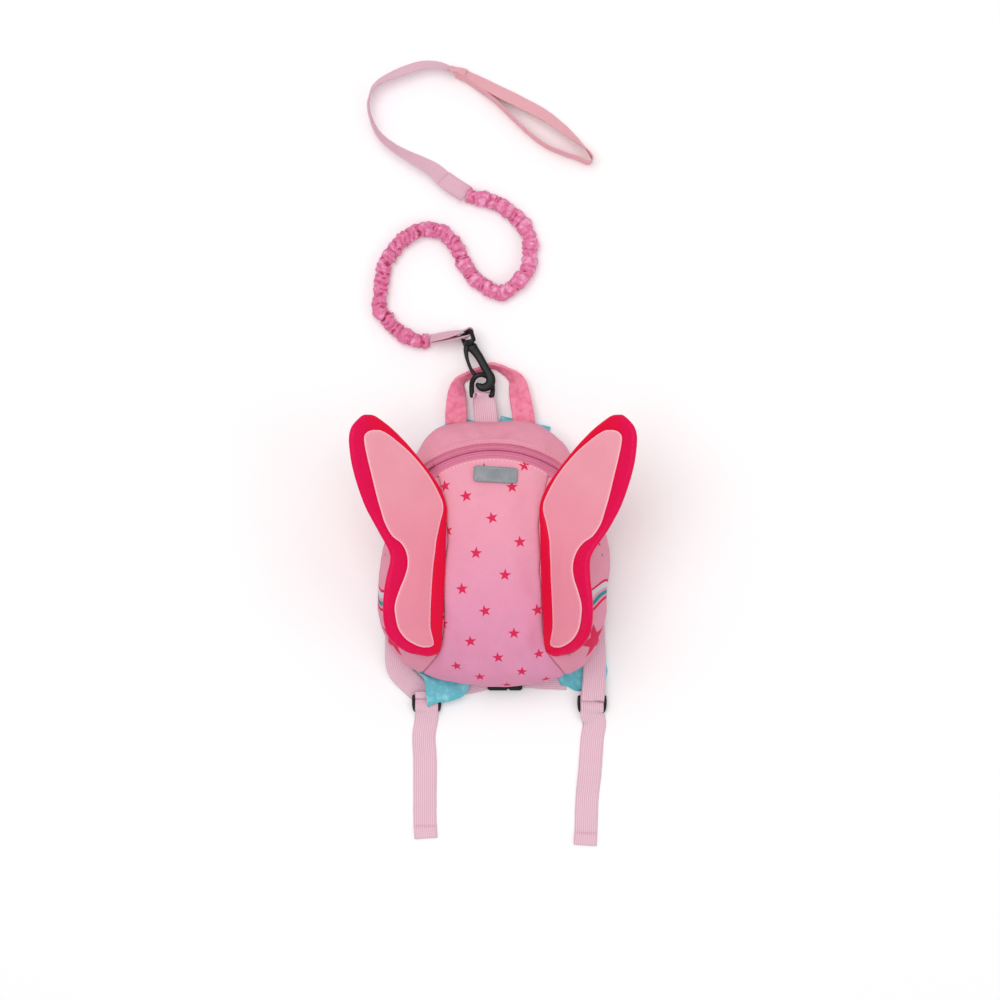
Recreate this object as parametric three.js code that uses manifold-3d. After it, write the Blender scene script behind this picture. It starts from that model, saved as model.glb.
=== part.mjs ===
// A toddler harness backpack with padded wings and a lead, lying on its back.
// Millimetres. +Z is up from the floor, +Y is towards the bag's top, +X is its right as seen from above.
import * as THREE from "three";
import Module from "manifold-3d";

const wasm = await Module();
wasm.setup();

// Clearances
const GAP = 0.3;
const SEAM = 0.5;

// Body
const BAG_WIDTH = 192;
const BAG_HEIGHT = 230;
const BAG_RISE = 79;
const CLOTH = 1.6;
const CROWN_POWER = 2.4;
const RIM_TUCK = 0.05;
const BACK_THICK = 5;
const BACK_INSET = 1.2;

// Webbing and shoulder straps
const WEB_WIDTH = 20;
const WEB_THICK = 1.4;
const STRAP_WIDTH = 43;
const STRAP_THICK = 6;

// Zip
const ZIP_CENTRE_Y = -11;
const ZIP_INNER = 91.5;
const ZIP_SLOT = 12.5;
const ZIP_HALF_ANGLE = 41;
const ZIP_SINK = 0.9;
const TAPE_THICK = 1;
const COIL_RADIUS = 1.2;
const SLIDER_LENGTH = 10;
const SLIDER_WIDTH = 6.5;
const SLIDER_HEIGHT = 3.4;
const SLIDER_ANGLE = 36;

// Label
const LABEL_WIDTH = 37;
const LABEL_HEIGHT = 13.4;
const LABEL_THICK = 1.2;
const LABEL_X = 2;
const LABEL_Y = 66.5;
const LABEL_TURN = -3.5;

// Wings
const WING_SPAN = 92;
const WING_LENGTH = 198;
const WING_FOOT_Y = -83;
const WING_THICK = 8;
const WING_EDGE = 1.6;
const WING_TILT = 32;
const WING_CURL = 5;
const LOBE_TILT_LEFT = 32;
const LOBE_TILT_RIGHT = 46;
const WING_BASE_LIFT = 84;
const INSET_THICK = 1.2;
const INSET_GAP = 0.55;

// Handle, tab and ring
const HANDLE_WIDTH = 19;
const HANDLE_THICK = 2.4;
const HANDLE_TOP_Z = 5.6;
const RING_WIDTH = 25;
const RING_HEIGHT = 17.5;
const RING_RADIUS = 1.7;
const RING_TILT = 45;
const TAB_LENGTH = 25;
const TAB_SHIFT = 2.5;
const RING_X = -8.5;

// Snap hook and eye
const HOOK_WIDTH = 18.2;
const HOOK_LENGTH = 40;
const HOOK_THICK = 4.2;
const HOOK_BEVEL = 0.8;
const HOOK_TURN = 18.2;
const HOOK_SLIT = 0.8;
const POST_RADIUS = 1.9;
const POST_HEAD_RADIUS = 3;
const POST_HEAD_THICK = 1.2;
const EYE_BAR = 3;
const EYE_OPENING = 4.6;
const EYE_THICK = 3;
const EYE_RAIL = 2.4;
const EYE_CLEAR = 0.9;
const EYE_LEAN = 70;
const HUB_RADIUS = 4.2;
const HUB_DROP = 1;

// Lead
const ELASTIC_RADIUS = 6.9;
const ELASTIC_NECK = 5.3;
const RUFFLE_PITCH = 7.4;
const LEAD_SIDES = 10;
const HOOK_WEB_LEAN = 68;

// Ladder locks and chest buckle
const LOCK_BAR = 2.4;
const LOCK_SLOT = 4.4;
const LOCK_THICK = 2.6;
const LOCK_RAIL = 2.2;
const LOCK_LOOP = 3.2;
const BUCKLE_LENGTH = 30;
const BUCKLE_WIDTH = 24;
const BUCKLE_THICK = 6.2;
const BUCKLE_WALL = 1.5;
const PLUG_SHARE = 0.4;
const PRONG_LENGTH = 10;

// Heights above the floor
const BACK_Z = STRAP_THICK + WEB_THICK + 3 * GAP;
const RIM_Z = BACK_Z + BACK_THICK + GAP;
const TOP_Z = BACK_Z + BACK_THICK;
const WEB_OVER_STRAP = STRAP_THICK + GAP + WEB_THICK / 2;

// Outline of the body every 15 degrees from the right, as shares of its half sizes
const BODY_EDGE = [
  1.077, 1.024, 0.98, 1.038, 1.055, 1.035, 1.001, 1.026, 1.052, 1.019, 0.97, 0.96,
  1.024, 1.105, 1.18, 1.19, 1.108, 1.045, 1.034, 1.055, 1.122, 1.207, 1.17, 1.089,
];

// Soft dents in the body: across and up as shares of the half sizes, radius share, depth in mm
const DENTS = [
  [0.24, -0.22, 0.2, 1.6],
  [-0.26, 0.2, 0.18, 1.2],
  [0.02, -0.7, 0.22, 1.8],
  [0.66, 0.2, 0.22, 3],
  [-0.68, 0.16, 0.22, 3],
  [0.74, -0.36, 0.16, 2.4],
  [-0.74, -0.3, 0.16, 2.2],
  [0.2, 0.92, 0.16, 2],
  [-0.34, 0.88, 0.16, 2],
];

// Seam between front and side panel on the right: across and up as shares of the half sizes
const SIDE_SEAM = [
  [0.44, 0.74],
  [0.4, 0.42],
  [0.41, 0],
  [0.43, -0.4],
  [0.45, -0.7],
  [0.5, -0.78],
  [0.62, -0.88],
  [0.95, -1.2],
];

// Wing: height share, inner edge and outer edge as shares of the span
const WING_ROWS = [
  [-0.009, 0.11, 0.15],
  [0, 0.04, 0.24],
  [0.012, 0.015, 0.346],
  [0.044, 0, 0.468],
  [0.086, 0, 0.563],
  [0.146, 0, 0.613],
  [0.212, 0, 0.628],
  [0.279, 0, 0.621],
  [0.338, 0, 0.6],
  [0.396, 0, 0.571],
  [0.433, 0, 0.584],
  [0.471, 0, 0.632],
  [0.537, 0, 0.73],
  [0.619, 0, 0.847],
  [0.699, 0.07, 0.926],
  [0.786, 0.22, 0.989],
  [0.86, 0.37, 1.018],
  [0.911, 0.49, 1.021],
  [0.951, 0.6, 0.989],
  [0.988, 0.73, 0.904],
  [0.998, 0.79, 0.86],
];

// Inset panel of the wing, in the same columns
const INSET_ROWS = [
  [0.031, 0.14, 0.2],
  [0.041, 0.1, 0.276],
  [0.069, 0.11, 0.389],
  [0.114, 0.14, 0.476],
  [0.174, 0.148, 0.518],
  [0.219, 0.149, 0.524],
  [0.277, 0.147, 0.484],
  [0.329, 0.144, 0.435],
  [0.38, 0.138, 0.408],
  [0.432, 0.125, 0.428],
  [0.47, 0.117, 0.486],
  [0.5, 0.105, 0.58],
  [0.552, 0.08, 0.659],
  [0.61, 0.05, 0.71],
  [0.66, 0.08, 0.75],
  [0.751, 0.205, 0.807],
  [0.838, 0.385, 0.861],
  [0.901, 0.57, 0.885],
  [0.926, 0.665, 0.85],
  [0.935, 0.72, 0.79],
];

// Snap hook outline and opening: across as a share of its width, along as a share of its length
const HOOK_EDGE = [
  [-0.176, 1],
  [-0.379, 0.859],
  [-0.363, 0.741],
  [-0.4, 0.62],
  [-0.47, 0.56],
  [-0.45, 0.5],
  [-0.345, 0.42],
  [-0.341, 0.318],
  [-0.357, 0.2],
  [-0.247, 0.07],
  [0, 0],
  [0.275, 0.012],
  [0.522, 0.082],
  [0.643, 0.2],
  [0.604, 0.365],
  [0.495, 0.553],
  [0.357, 0.741],
  [0.22, 0.849],
  [0.176, 1],
];
const HOOK_OPENING = [
  [-0.088, 0.694],
  [0.198, 0.682],
  [0.319, 0.553],
  [0.407, 0.388],
  [0.433, 0.271],
  [0.302, 0.169],
  [0.137, 0.141],
  [-0.055, 0.169],
  [-0.158, 0.271],
  [-0.132, 0.459],
];
const HOOK_SEAT = [0.1375, 0.27];

// D-ring: across as a share of its half width, along as a share of its height
const RING_PATH = [
  [0, 0],
  [0.4, 0],
  [0.8, 0.01],
  [0.96, 0.08],
  [1, 0.22],
  [0.97, 0.42],
  [0.87, 0.63],
  [0.68, 0.83],
  [0.38, 0.96],
  [0, 1],
];

// Carry handle, folded in half at its top: across and up from the bag's top in mm, share of the drop
// to the top's height, lean in degrees, width share, thickness share
const HANDLE_ROUTE = [
  [-32.2, -3, 0, 0, 1, 1],
  [-32, 6, 0.05, 2, 1, 1],
  [-31.2, 17, 0.3, 8, 1, 1],
  [-30, 26, 0.7, 20, 0.85, 1.2],
  [-26, 34, 0.95, 45, 0.55, 1.6],
  [-17, 41.5, 1, 62, 0.48, 1.8],
  [-3.8, 47, 1, 62, 0.48, 1.8],
  [8, 41.5, 1, 60, 0.48, 1.8],
  [16.5, 35, 0.95, 45, 0.55, 1.6],
  [21.6, 26, 0.7, 22, 0.85, 1.2],
  [24.6, 16, 0.3, 8, 1, 1],
  [26, 6, 0.05, 2, 1, 1],
  [26.4, -3, 0, 0, 1, 1],
];

// Gathered lead from the eye's end, in mm
const ELASTIC_ROUTE = [
  [-31.6, -6.9],
  [-42.6, -8],
  [-50.7, -4.5],
  [-61.2, 2.4],
  [-68.5, 10.6],
  [-74.6, 18.7],
  [-75.2, 28],
  [-74, 38.5],
  [-72.8, 47.8],
  [-70.5, 58.2],
  [-63.5, 69.8],
  [-54.2, 80.3],
  [-42.6, 87.2],
  [-31, 88.9],
  [-19.4, 85.5],
  [-9, 74.5],
  [-4.3, 64],
  [1.5, 54.7],
  [8.5, 45.4],
  [17.7, 38.5],
  [28.2, 34.4],
  [39.8, 38.5],
  [50.2, 48.9],
  [54.3, 59.4],
  [55.2, 71],
  [55, 81],
  [49.1, 93],
  [37.5, 104.6],
  [25.9, 111.6],
  [8.3, 116.4],
  [0.6, 119],
];

// Webbing lead from the eye's end: across, up in mm and lean in degrees
const LEAD_ROUTE = [
  [-0.3, 119.3, 38],
  [-16.4, 129.8, 38],
  [-28.7, 140.7, 45],
  [-47.3, 150.7, 57],
  [-62.7, 159.3, 64],
  [-75.1, 170.1, 74],
  [-82, 183.9, 84],
  [-84.4, 197.9, 92],
  [-79.8, 211.8, 104],
  [-69, 219.5, 116],
  [-50.4, 227.2, 122],
  [-35, 231.1, 120],
  [-22.6, 230.3, 116],
  [-12.6, 226.4, 110],
];

// Hand loop from the eye's end, in the same columns
const LOOP_ROUTE = [
  [-10.6, 225.7, 110],
  [0.8, 222.4, 116],
  [22.3, 211, 126],
  [45.5, 199.4, 128],
  [68.6, 187.1, 124],
  [88.7, 171.6, 114],
  [102.6, 159.3, 98],
  [108.6, 151.4, 92],
  [108.6, 147.4, 90],
  [105, 146, 90],
  [96.4, 149.7, 90],
  [84.1, 153.8, 90],
  [68.6, 160.7, 90],
  [53.2, 172.3, 90],
  [37.7, 187.1, 90],
  [26.8, 197.9, 90],
  [19.1, 204, 90],
  [0.8, 217.6, 94],
  [-8.6, 222.2, 96],
];

// Shoulder straps down to near the bag's bottom: across and up as shares of the half sizes, width share,
// underside and thickness in mm
const STRAP_LEFT = [
  [-0.385, 0.974, 1, 0.9, 5],
  [-0.417, 0.696, 1, 0, 6],
  [-0.438, 0.261, 1, 0, 6],
  [-0.438, -0.174, 1, 0, 6],
  [-0.427, -0.565, 1, 0, 6],
  [-0.438, -0.852, 1, 0.3, 6],
];
const STRAP_RIGHT = [
  [0.281, 0.974, 1, 0.9, 5],
  [0.313, 0.696, 1, 0, 6],
  [0.396, 0.261, 1, 0, 6],
  [0.49, -0.174, 1, 0, 6],
  [0.615, -0.565, 1, 0, 6],
  [0.76, -0.826, 1, 0, 6],
];

// Their ends: in from the bag's widest side and up from its bottom in mm, then the same columns
const STRAP_LEFT_END = [
  [53, 8, 1, 3.4, 4.4],
  [51.8, 2.9, 0.98, 7.8, 3.4],
  [49.9, -2.3, 0.9, 9.3, 2.8],
  [46.6, -8.1, 0.76, 9.4, 2.6],
  [43.7, -12.7, 0.55, 9.4, 2.4],
  [41.8, -16.7, 0.25, 9.4, 2.2],
];
const STRAP_RIGHT_END = [
  [17.3, 7, 1, 0, 5],
  [15.8, 2.3, 0.85, 0, 3.6],
  [15.2, -1.2, 0.62, 0, 2.8],
  [14.4, -3.7, 0.35, 0, 2.5],
];

// Strap webbing from under the back towards its lock: in from the bag's widest side, up from its
// bottom, and height, in mm
const ANCHOR_LEFT = [
  [9, 53, WEB_OVER_STRAP],
  [6.5, 39, 6.6],
  [6.5, 27, 5],
  [10.5, 16.5, 3.2],
  [17.5, 8.5, 2],
  [24.5, 2.5, 1.6],
];
const ANCHOR_RIGHT = [
  [10, 53, WEB_OVER_STRAP],
  [9, 37, WEB_OVER_STRAP],
  [8.4, 21, WEB_OVER_STRAP],
  [8.6, 7, WEB_OVER_STRAP + 0.3],
];

// Tail of the strap webbing from its lock's middle: across, up and height in mm
const TAIL_LEFT = [
  [-0.8, -17, 1.1],
  [-2.6, -30, 0.8],
  [-1.6, -50, 1.4],
  [-1.6, -76, 0.8],
  [-1.6, -102, 0.8],
  [-0.7, -117.7, 0.8],
];
const TAIL_RIGHT = [
  [2.2, -18, 1.3],
  [0.2, -32, 0.8],
  [-1.6, -58, 1.3],
  [-4.2, -84, 0.8],
  [-5.1, -110, 0.8],
  [-5.9, -123.3, 0.8],
];

// Lock's middle: in from the bag's widest side, up from its bottom, and underside, in mm
const LOCK_LEFT = [38, -16, 2.4];
const LOCK_RIGHT = [10.5, -16.5, 3.4];

// Fastened buckle: right of the bag's middle, up from its bottom and middle's height, in mm
const BUCKLE_AT = [10, 7, BUCKLE_THICK / 2 + GAP];

// Chest strap webbing from the buckle's ends: outward, up and rise in mm
const CHEST_LEFT = [
  [0, 0, 0],
  [3, 0, 0],
  [8, -1, -0.6],
  [12.5, -2.5, -2.2],
];
const CHEST_RIGHT = [
  [0, 0, 0],
  [3, 0, 0],
  [14, -0.5, -0.6],
  [24, -1, -0.8],
];

// Looks
const LOOKS = {
  front: [0xe296b0, 0.85],
  side: [0xdf93ad, 0.85],
  top: [0xde8ca0, 0.85],
  back: [0xe7a3b8, 0.9],
  zip: [0xcd5f8c, 0.7],
  coil: [0xb94f7c, 0.5],
  grey: [0x878c91, 0.6],
  crimson: [0xe4003c, 0.45],
  salmon: [0xec91a0, 0.75],
  handle: [0xee87a0, 0.7],
  webbing: [0xebb9cd, 0.8],
  loop: [0xf0a5aa, 0.8],
  satin: [0xe473aa, 0.35],
  teal: [0x6ec8d2, 0.5],
  black: [0x17171a, 0.4],
};

const group = new THREE.Group();
group.name = "toddler_harness_backpack";

const rad = THREE.MathUtils.degToRad;
const point = (x, y, z) => new THREE.Vector3(x, y, z);
const UP = point(0, 0, 1);
const halfWidth = BAG_WIDTH / 2;
const halfHeight = BAG_HEIGHT / 2;

function add(name, geometry, look) {
  const [color, roughness] = LOOKS[look];
  const material = new THREE.MeshStandardMaterial({ color, roughness, metalness: 0 });
  const mesh = new THREE.Mesh(geometry, material);
  mesh.name = name;
  group.add(mesh);
}

// Six times the signed volume of an indexed geometry
function signedVolume(positions, index) {
  const corner = (i) => point(...positions.slice(3 * index[i], 3 * index[i] + 3));
  let sum = 0;
  for (let i = 0; i < index.length; i += 3) {
    sum += corner(i).dot(corner(i + 1).cross(corner(i + 2)));
  }
  return sum;
}

function closedGeometry(positions, index) {
  if (signedVolume(positions, index) < 0) {
    index.reverse();
  }
  const geometry = new THREE.BufferGeometry();
  geometry.setAttribute("position", new THREE.Float32BufferAttribute(positions, 3));
  geometry.setIndex(index);
  return geometry;
}

// Closed body through rings of equal length, capped at its ends or joined end to start
function loft(rings, joined = false) {
  const count = rings[0].length;
  const positions = rings.flat().flatMap((p) => [p.x, p.y, p.z]);
  const index = [];
  const spans = joined ? rings.length : rings.length - 1;
  for (let i = 0; i < spans; i++) {
    const next = (i + 1) % rings.length;
    for (let j = 0; j < count; j++) {
      const turn = (j + 1) % count;
      const [a, b] = [i * count + j, i * count + turn];
      const [c, d] = [next * count + j, next * count + turn];
      index.push(a, b, d, a, d, c);
    }
  }
  if (!joined) {
    for (const [start, flip] of [[0, true], [(rings.length - 1) * count, false]]) {
      const ring = rings[start / count];
      const centre = ring.reduce((sum, p) => sum.add(p), point(0, 0, 0)).divideScalar(count);
      const middle = positions.length / 3;
      positions.push(centre.x, centre.y, centre.z);
      for (let j = 0; j < count; j++) {
        const [a, b] = [start + j, start + ((j + 1) % count)];
        index.push(middle, flip ? b : a, flip ? a : b);
      }
    }
  }
  return closedGeometry(positions, index);
}

function toSolid(geometry) {
  const plain = new THREE.BufferGeometry();
  plain.setAttribute("position", geometry.getAttribute("position"));
  plain.setIndex(geometry.index);
  const flat = plain.index ? plain.toNonIndexed() : plain;
  const seen = new Map();
  const vertices = [];
  const triangles = [];
  const source = flat.attributes.position;
  for (let i = 0; i < source.count; i++) {
    const corner = [source.getX(i), source.getY(i), source.getZ(i)];
    const key = corner.map((value) => Math.round(value * 1e3)).join();
    if (!seen.has(key)) {
      seen.set(key, vertices.length / 3);
      vertices.push(...corner);
    }
    triangles.push(seen.get(key));
  }
  const kept = [];
  for (let i = 0; i < triangles.length; i += 3) {
    const [a, b, c] = triangles.slice(i, i + 3);
    if (a !== b && b !== c && c !== a) {
      kept.push(a, b, c);
    }
  }
  return new wasm.Manifold(
    new wasm.Mesh({
      numProp: 3,
      vertProperties: new Float32Array(vertices),
      triVerts: new Uint32Array(kept),
    }),
  );
}

function fromSolid(solid) {
  const mesh = solid.getMesh();
  const positions = [];
  for (let i = 0; i < mesh.numVert; i++) {
    positions.push(...mesh.vertProperties.subarray(i * mesh.numProp, i * mesh.numProp + 3));
  }
  return closedGeometry(positions, [...mesh.triVerts]);
}

// Catmull-Rom through rows of numbers, at a place counted in rows
function splineAt(rows, place, joined = false) {
  const last = rows.length - 1;
  const from = joined ? Math.floor(place) : Math.min(Math.floor(place), last - 1);
  const t = place - from;
  const pick = (i) =>
    joined ? rows[(i + rows.length) % rows.length] : rows[Math.min(Math.max(i, 0), last)];
  const [p0, p1, p2, p3] = [pick(from - 1), pick(from), pick(from + 1), pick(from + 2)];
  return p1.map((v, k) => {
    const pull = (p2[k] - p0[k]) / 2;
    const push = (p3[k] - v) / 2;
    const a = 2 * v - 2 * p2[k] + pull + push;
    const b = -3 * v + 3 * p2[k] - 2 * pull - push;
    return ((a * t + b) * t + pull) * t + v;
  });
}

function smooth(rows, steps, joined = false) {
  const spans = joined ? rows.length : rows.length - 1;
  const out = [];
  for (let i = 0; i < spans * steps; i++) {
    out.push(splineAt(rows, i / steps, joined));
  }
  if (!joined) {
    out.push(rows[rows.length - 1]);
  }
  return out;
}

// Directions along, across and out of a band at each point of its route, leaned about the route
function bandStations(rows) {
  const places = rows.map(([x, y, z]) => point(x, y, z));
  return places.map((at, i) => {
    const before = places[Math.max(i - 1, 0)];
    const after = places[Math.min(i + 1, places.length - 1)];
    const along = after.clone().sub(before).normalize();
    const level = UP.clone().cross(along).normalize();
    const lean = rad(rows[i][3] ?? 0);
    const rise = along.clone().cross(level);
    const side = level.multiplyScalar(Math.cos(lean)).addScaledVector(rise, Math.sin(lean));
    const [wide, deep] = [rows[i][4] ?? 1, rows[i][5] ?? 1];
    return { at, side, normal: along.clone().cross(side), wide, deep };
  });
}

function strip(stations, width, thick) {
  const corners = [[1, 1], [-1, 1], [-1, -1], [1, -1]];
  return loft(
    stations.map(({ at, side, normal, wide = 1, deep = 1 }) =>
      corners.map(([s, n]) =>
        at
          .clone()
          .addScaledVector(side, (s * wide * width) / 2)
          .addScaledVector(normal, (n * deep * thick) / 2),
      ),
    ),
  );
}

function ribbon(rows, width, thick, steps = 2) {
  return strip(bandStations(smooth(rows, steps)), width, thick);
}

// A doubled band that leaves its root and turns round a bar
function hairpin({ root, rootSide, bar, barSide, width, thick, barRadius, parallel = false }) {
  const turnRadius = barRadius + GAP + thick / 2;
  const rootSpread = parallel ? turnRadius : GAP + thick / 2;
  const heading = bar.clone().sub(root).normalize();
  const stations = [];
  const frameAt = (share) => {
    const side = rootSide.clone().lerp(barSide, share).normalize();
    const along = heading.clone().addScaledVector(side, -heading.dot(side)).normalize();
    return { side, along, normal: along.clone().cross(side) };
  };
  const layerSteps = [0, 0.3, 0.6, 0.85, 1];
  const layer = (share, sign) => {
    const { side, normal } = frameAt(share);
    const spread = THREE.MathUtils.lerp(rootSpread, turnRadius, share ** 2);
    const at = root.clone().lerp(bar, share).addScaledVector(normal, sign * spread);
    stations.push({ at, side, normal: normal.multiplyScalar(sign) });
  };
  layerSteps.forEach((share) => layer(share, 1));
  const { side, along, normal } = frameAt(1);
  for (const angle of [60, 30, 0, -30, -60]) {
    const out = along.clone().multiplyScalar(Math.cos(rad(angle)));
    out.addScaledVector(normal, Math.sin(rad(angle)));
    stations.push({ at: bar.clone().addScaledVector(out, turnRadius), side, normal: out });
  }
  [...layerSteps].reverse().forEach((share) => layer(share, -1));
  return strip(stations, width, thick);
}

// Flat plate from a shape, centred on its own plane
function plate(shape, thick, bevel = 0) {
  const geometry = new THREE.ExtrudeGeometry(shape, {
    depth: thick - 2 * bevel,
    bevelEnabled: bevel > 0,
    bevelThickness: bevel,
    bevelSize: bevel,
    bevelOffset: -bevel,
    bevelSegments: 1,
    curveSegments: 4,
  });
  return geometry.translate(0, 0, bevel - thick / 2);
}

function shapeOf(points) {
  return new THREE.Shape(points.map(([x, y]) => new THREE.Vector2(x, y)));
}

function box(width, depth, height, x, y, z) {
  return toSolid(new THREE.BoxGeometry(width, depth, height).translate(x, y, z));
}

// Rod along Y between two places
function rod(radius, from, to, sides = 12) {
  const length = to - from;
  return toSolid(
    new THREE.CylinderGeometry(radius, radius, length, sides).translate(0, from + length / 2, 0),
  );
}

function roundedBox(width, depth, round) {
  const [x, y] = [width / 2, depth / 2];
  return [
    [-x + round, -y],
    [x - round, -y],
    [x, -y + round],
    [x, y - round],
    [x - round, y],
    [-x + round, y],
    [-x, y - round],
    [-x, -y + round],
  ];
}

// Body surface

function edgeShare(angle) {
  const place = (((angle / (2 * Math.PI)) % 1) + 1) % 1;
  const rows = BODY_EDGE.map((share) => [share]);
  return splineAt(rows, place * BODY_EDGE.length, true)[0];
}

function dentDepth(x, y) {
  return DENTS.reduce((sum, [across, up, radius, depth]) => {
    const dx = (x / halfWidth - across) / radius;
    const dy = (y / halfHeight - up) / radius;
    return sum + depth * Math.exp(-dx * dx - dy * dy);
  }, 0);
}

// Height of the body's outside above the floor at a place seen from above
function bodyHeight(x, y) {
  const [u, v] = [x / halfWidth, y / halfHeight];
  const reach = Math.min(Math.hypot(u, v) / edgeShare(Math.atan2(v, u)), 0.995);
  const rise = (1 - reach ** CROWN_POWER) ** (1 / CROWN_POWER);
  return RIM_Z + BAG_RISE * rise - dentDepth(x, y) * rise;
}

function bodyPoint(angle, rise, inset) {
  const reach = (1 - rise ** CROWN_POWER) ** (1 / CROWN_POWER);
  const tuck = 1 - RIM_TUCK * (1 - rise) ** 3;
  const share = edgeShare(angle) * reach * tuck;
  const x = (halfWidth - inset) * share * Math.cos(angle);
  const y = (halfHeight - inset) * share * Math.sin(angle);
  return point(x, y, RIM_Z + (BAG_RISE - inset) * rise - dentDepth(x, y) * rise);
}

const BODY_SIDES = 40;
const BODY_RISES = [0, 0.16, 0.34, 0.52, 0.68, 0.81, 0.9, 0.955, 0.985, 0.998];

// Domed shell with an open back
function bodyShell() {
  const ring = (rise, inset) =>
    Array.from({ length: BODY_SIDES }, (_, i) =>
      bodyPoint((i * 2 * Math.PI) / BODY_SIDES, rise, inset),
    );
  const outside = BODY_RISES.map((rise) => ring(rise, 0));
  const inside = BODY_RISES.map((rise) => ring(rise, CLOTH));
  return toSolid(loft([...outside.reverse(), ...inside]));
}

function prism(points) {
  const reach = RIM_Z + BAG_RISE + BAG_WIDTH;
  const geometry = new THREE.ExtrudeGeometry(shapeOf(points), { depth: reach, bevelEnabled: false });
  return toSolid(geometry.translate(0, 0, -GAP));
}

// Narrow wall along a line, for cutting a seam
function seamCutter(points) {
  const left = [];
  const right = [];
  points.forEach(([x, y], i) => {
    const [x0, y0] = points[Math.max(i - 1, 0)];
    const [x1, y1] = points[Math.min(i + 1, points.length - 1)];
    const length = Math.hypot(x1 - x0, y1 - y0);
    const [nx, ny] = [-(y1 - y0) / length, (x1 - x0) / length];
    left.push([x + (nx * SEAM) / 2, y + (ny * SEAM) / 2]);
    right.push([x - (nx * SEAM) / 2, y - (ny * SEAM) / 2]);
  });
  return prism([...left, ...right.reverse()]);
}

// Place on the zip's arc: degrees from straight up, distance from the arc's centre
function onArc(angle, radius) {
  return [radius * Math.sin(rad(angle)), ZIP_CENTRE_Y + radius * Math.cos(rad(angle))];
}

function zipSlot() {
  const steps = 14;
  const angles = Array.from(
    { length: steps + 1 },
    (_, i) => ZIP_HALF_ANGLE * ((2 * i) / steps - 1),
  );
  const inner = angles.map((angle) => onArc(angle, ZIP_INNER));
  const outer = angles.map((angle) => onArc(angle, ZIP_INNER + ZIP_SLOT));
  return prism([...outer, ...inner.reverse()]);
}

function addBody() {
  const cutters = [zipSlot()];
  const rim = Math.max(BAG_WIDTH, BAG_HEIGHT);
  for (const hand of [-1, 1]) {
    const seam = SIDE_SEAM.map(([x, y]) => [hand * x * halfWidth, y * halfHeight]);
    cutters.push(seamCutter(seam));
    const [x0, y0] = onArc(hand * (ZIP_HALF_ANGLE - 0.5), ZIP_INNER + ZIP_SLOT / 2);
    const [x1, y1] = onArc(hand * (ZIP_HALF_ANGLE + 3), rim);
    cutters.push(seamCutter([[x0, y0], [x1, y1]]));
  }
  let shell = bodyShell();
  cutters.forEach((cutter) => {
    shell = shell.subtract(cutter);
  });
  const pieces = shell.decompose().filter((piece) => piece.volume() > CLOTH ** 3);
  const middle = (piece, axis) => {
    const bounds = piece.boundingBox();
    return (bounds.min[axis] + bounds.max[axis]) / 2;
  };
  const across = [...pieces].sort((a, b) => middle(a, 0) - middle(b, 0));
  const [left, right] = [across[0], across[across.length - 1]];
  const [front, top] = pieces
    .filter((piece) => piece !== left && piece !== right)
    .sort((a, b) => middle(a, 1) - middle(b, 1));
  add("front_panel", fromSolid(front), "front");
  add("side_panel_left", fromSolid(left), "side");
  add("side_panel_right", fromSolid(right), "side");
  add("top_panel", fromSolid(top), "top");
}

function addBackPanel() {
  const round = BACK_THICK / 4;
  const levels = [
    [0, round],
    [round, 0],
    [BACK_THICK - round, 0],
    [BACK_THICK, round],
  ];
  const rings = levels.map(([height, inset]) =>
    Array.from({ length: BODY_SIDES }, (_, i) => {
      const edge = bodyPoint((i * 2 * Math.PI) / BODY_SIDES, 0, BACK_INSET + inset);
      return point(edge.x, edge.y, BACK_Z + height);
    }),
  );
  add("back_panel", loft(rings), "back");
}

// Band that follows the body between two distances from the zip's centre
function arcBand(from, to, sink, thick, halfAngle) {
  const steps = 22;
  const radii = [from, (from + to) / 2, to];
  const rings = [];
  for (let i = 0; i <= steps; i++) {
    const angle = halfAngle * ((2 * i) / steps - 1);
    const at = (radius, drop) => {
      const [x, y] = onArc(angle, radius);
      return point(x, y, bodyHeight(x, y) - sink - drop);
    };
    rings.push([
      ...radii.map((radius) => at(radius, 0)),
      ...[...radii].reverse().map((radius) => at(radius, thick)),
    ]);
  }
  return loft(rings);
}

function addZip() {
  const middle = ZIP_INNER + ZIP_SLOT / 2;
  const reach = ZIP_HALF_ANGLE - 0.5;
  const near = ZIP_INNER + SEAM;
  const far = ZIP_INNER + ZIP_SLOT - SEAM;
  add("zip_tape_lower", arcBand(near, middle - GAP / 2, ZIP_SINK, TAPE_THICK, reach), "zip");
  add("zip_tape_upper", arcBand(middle + GAP / 2, far, ZIP_SINK, TAPE_THICK, reach), "zip");
  const rings = [];
  const steps = 22;
  for (let i = 0; i <= steps; i++) {
    const angle = reach * ((2 * i) / steps - 1);
    const [x, y] = onArc(angle, middle);
    const [x1, y1] = onArc(angle, middle + 2 * COIL_RADIUS);
    const z = bodyHeight(x1, y1) - ZIP_SINK - TAPE_THICK - GAP - COIL_RADIUS;
    const out = point(Math.sin(rad(angle)), Math.cos(rad(angle)), 0);
    rings.push(
      [0, 60, 120, 180, 240, 300].map((turn) =>
        point(x, y, z)
          .addScaledVector(out, COIL_RADIUS * Math.cos(rad(turn)))
          .addScaledVector(UP, COIL_RADIUS * Math.sin(rad(turn))),
      ),
    );
  }
  add("zip_coil", loft(rings), "coil");
}

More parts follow.
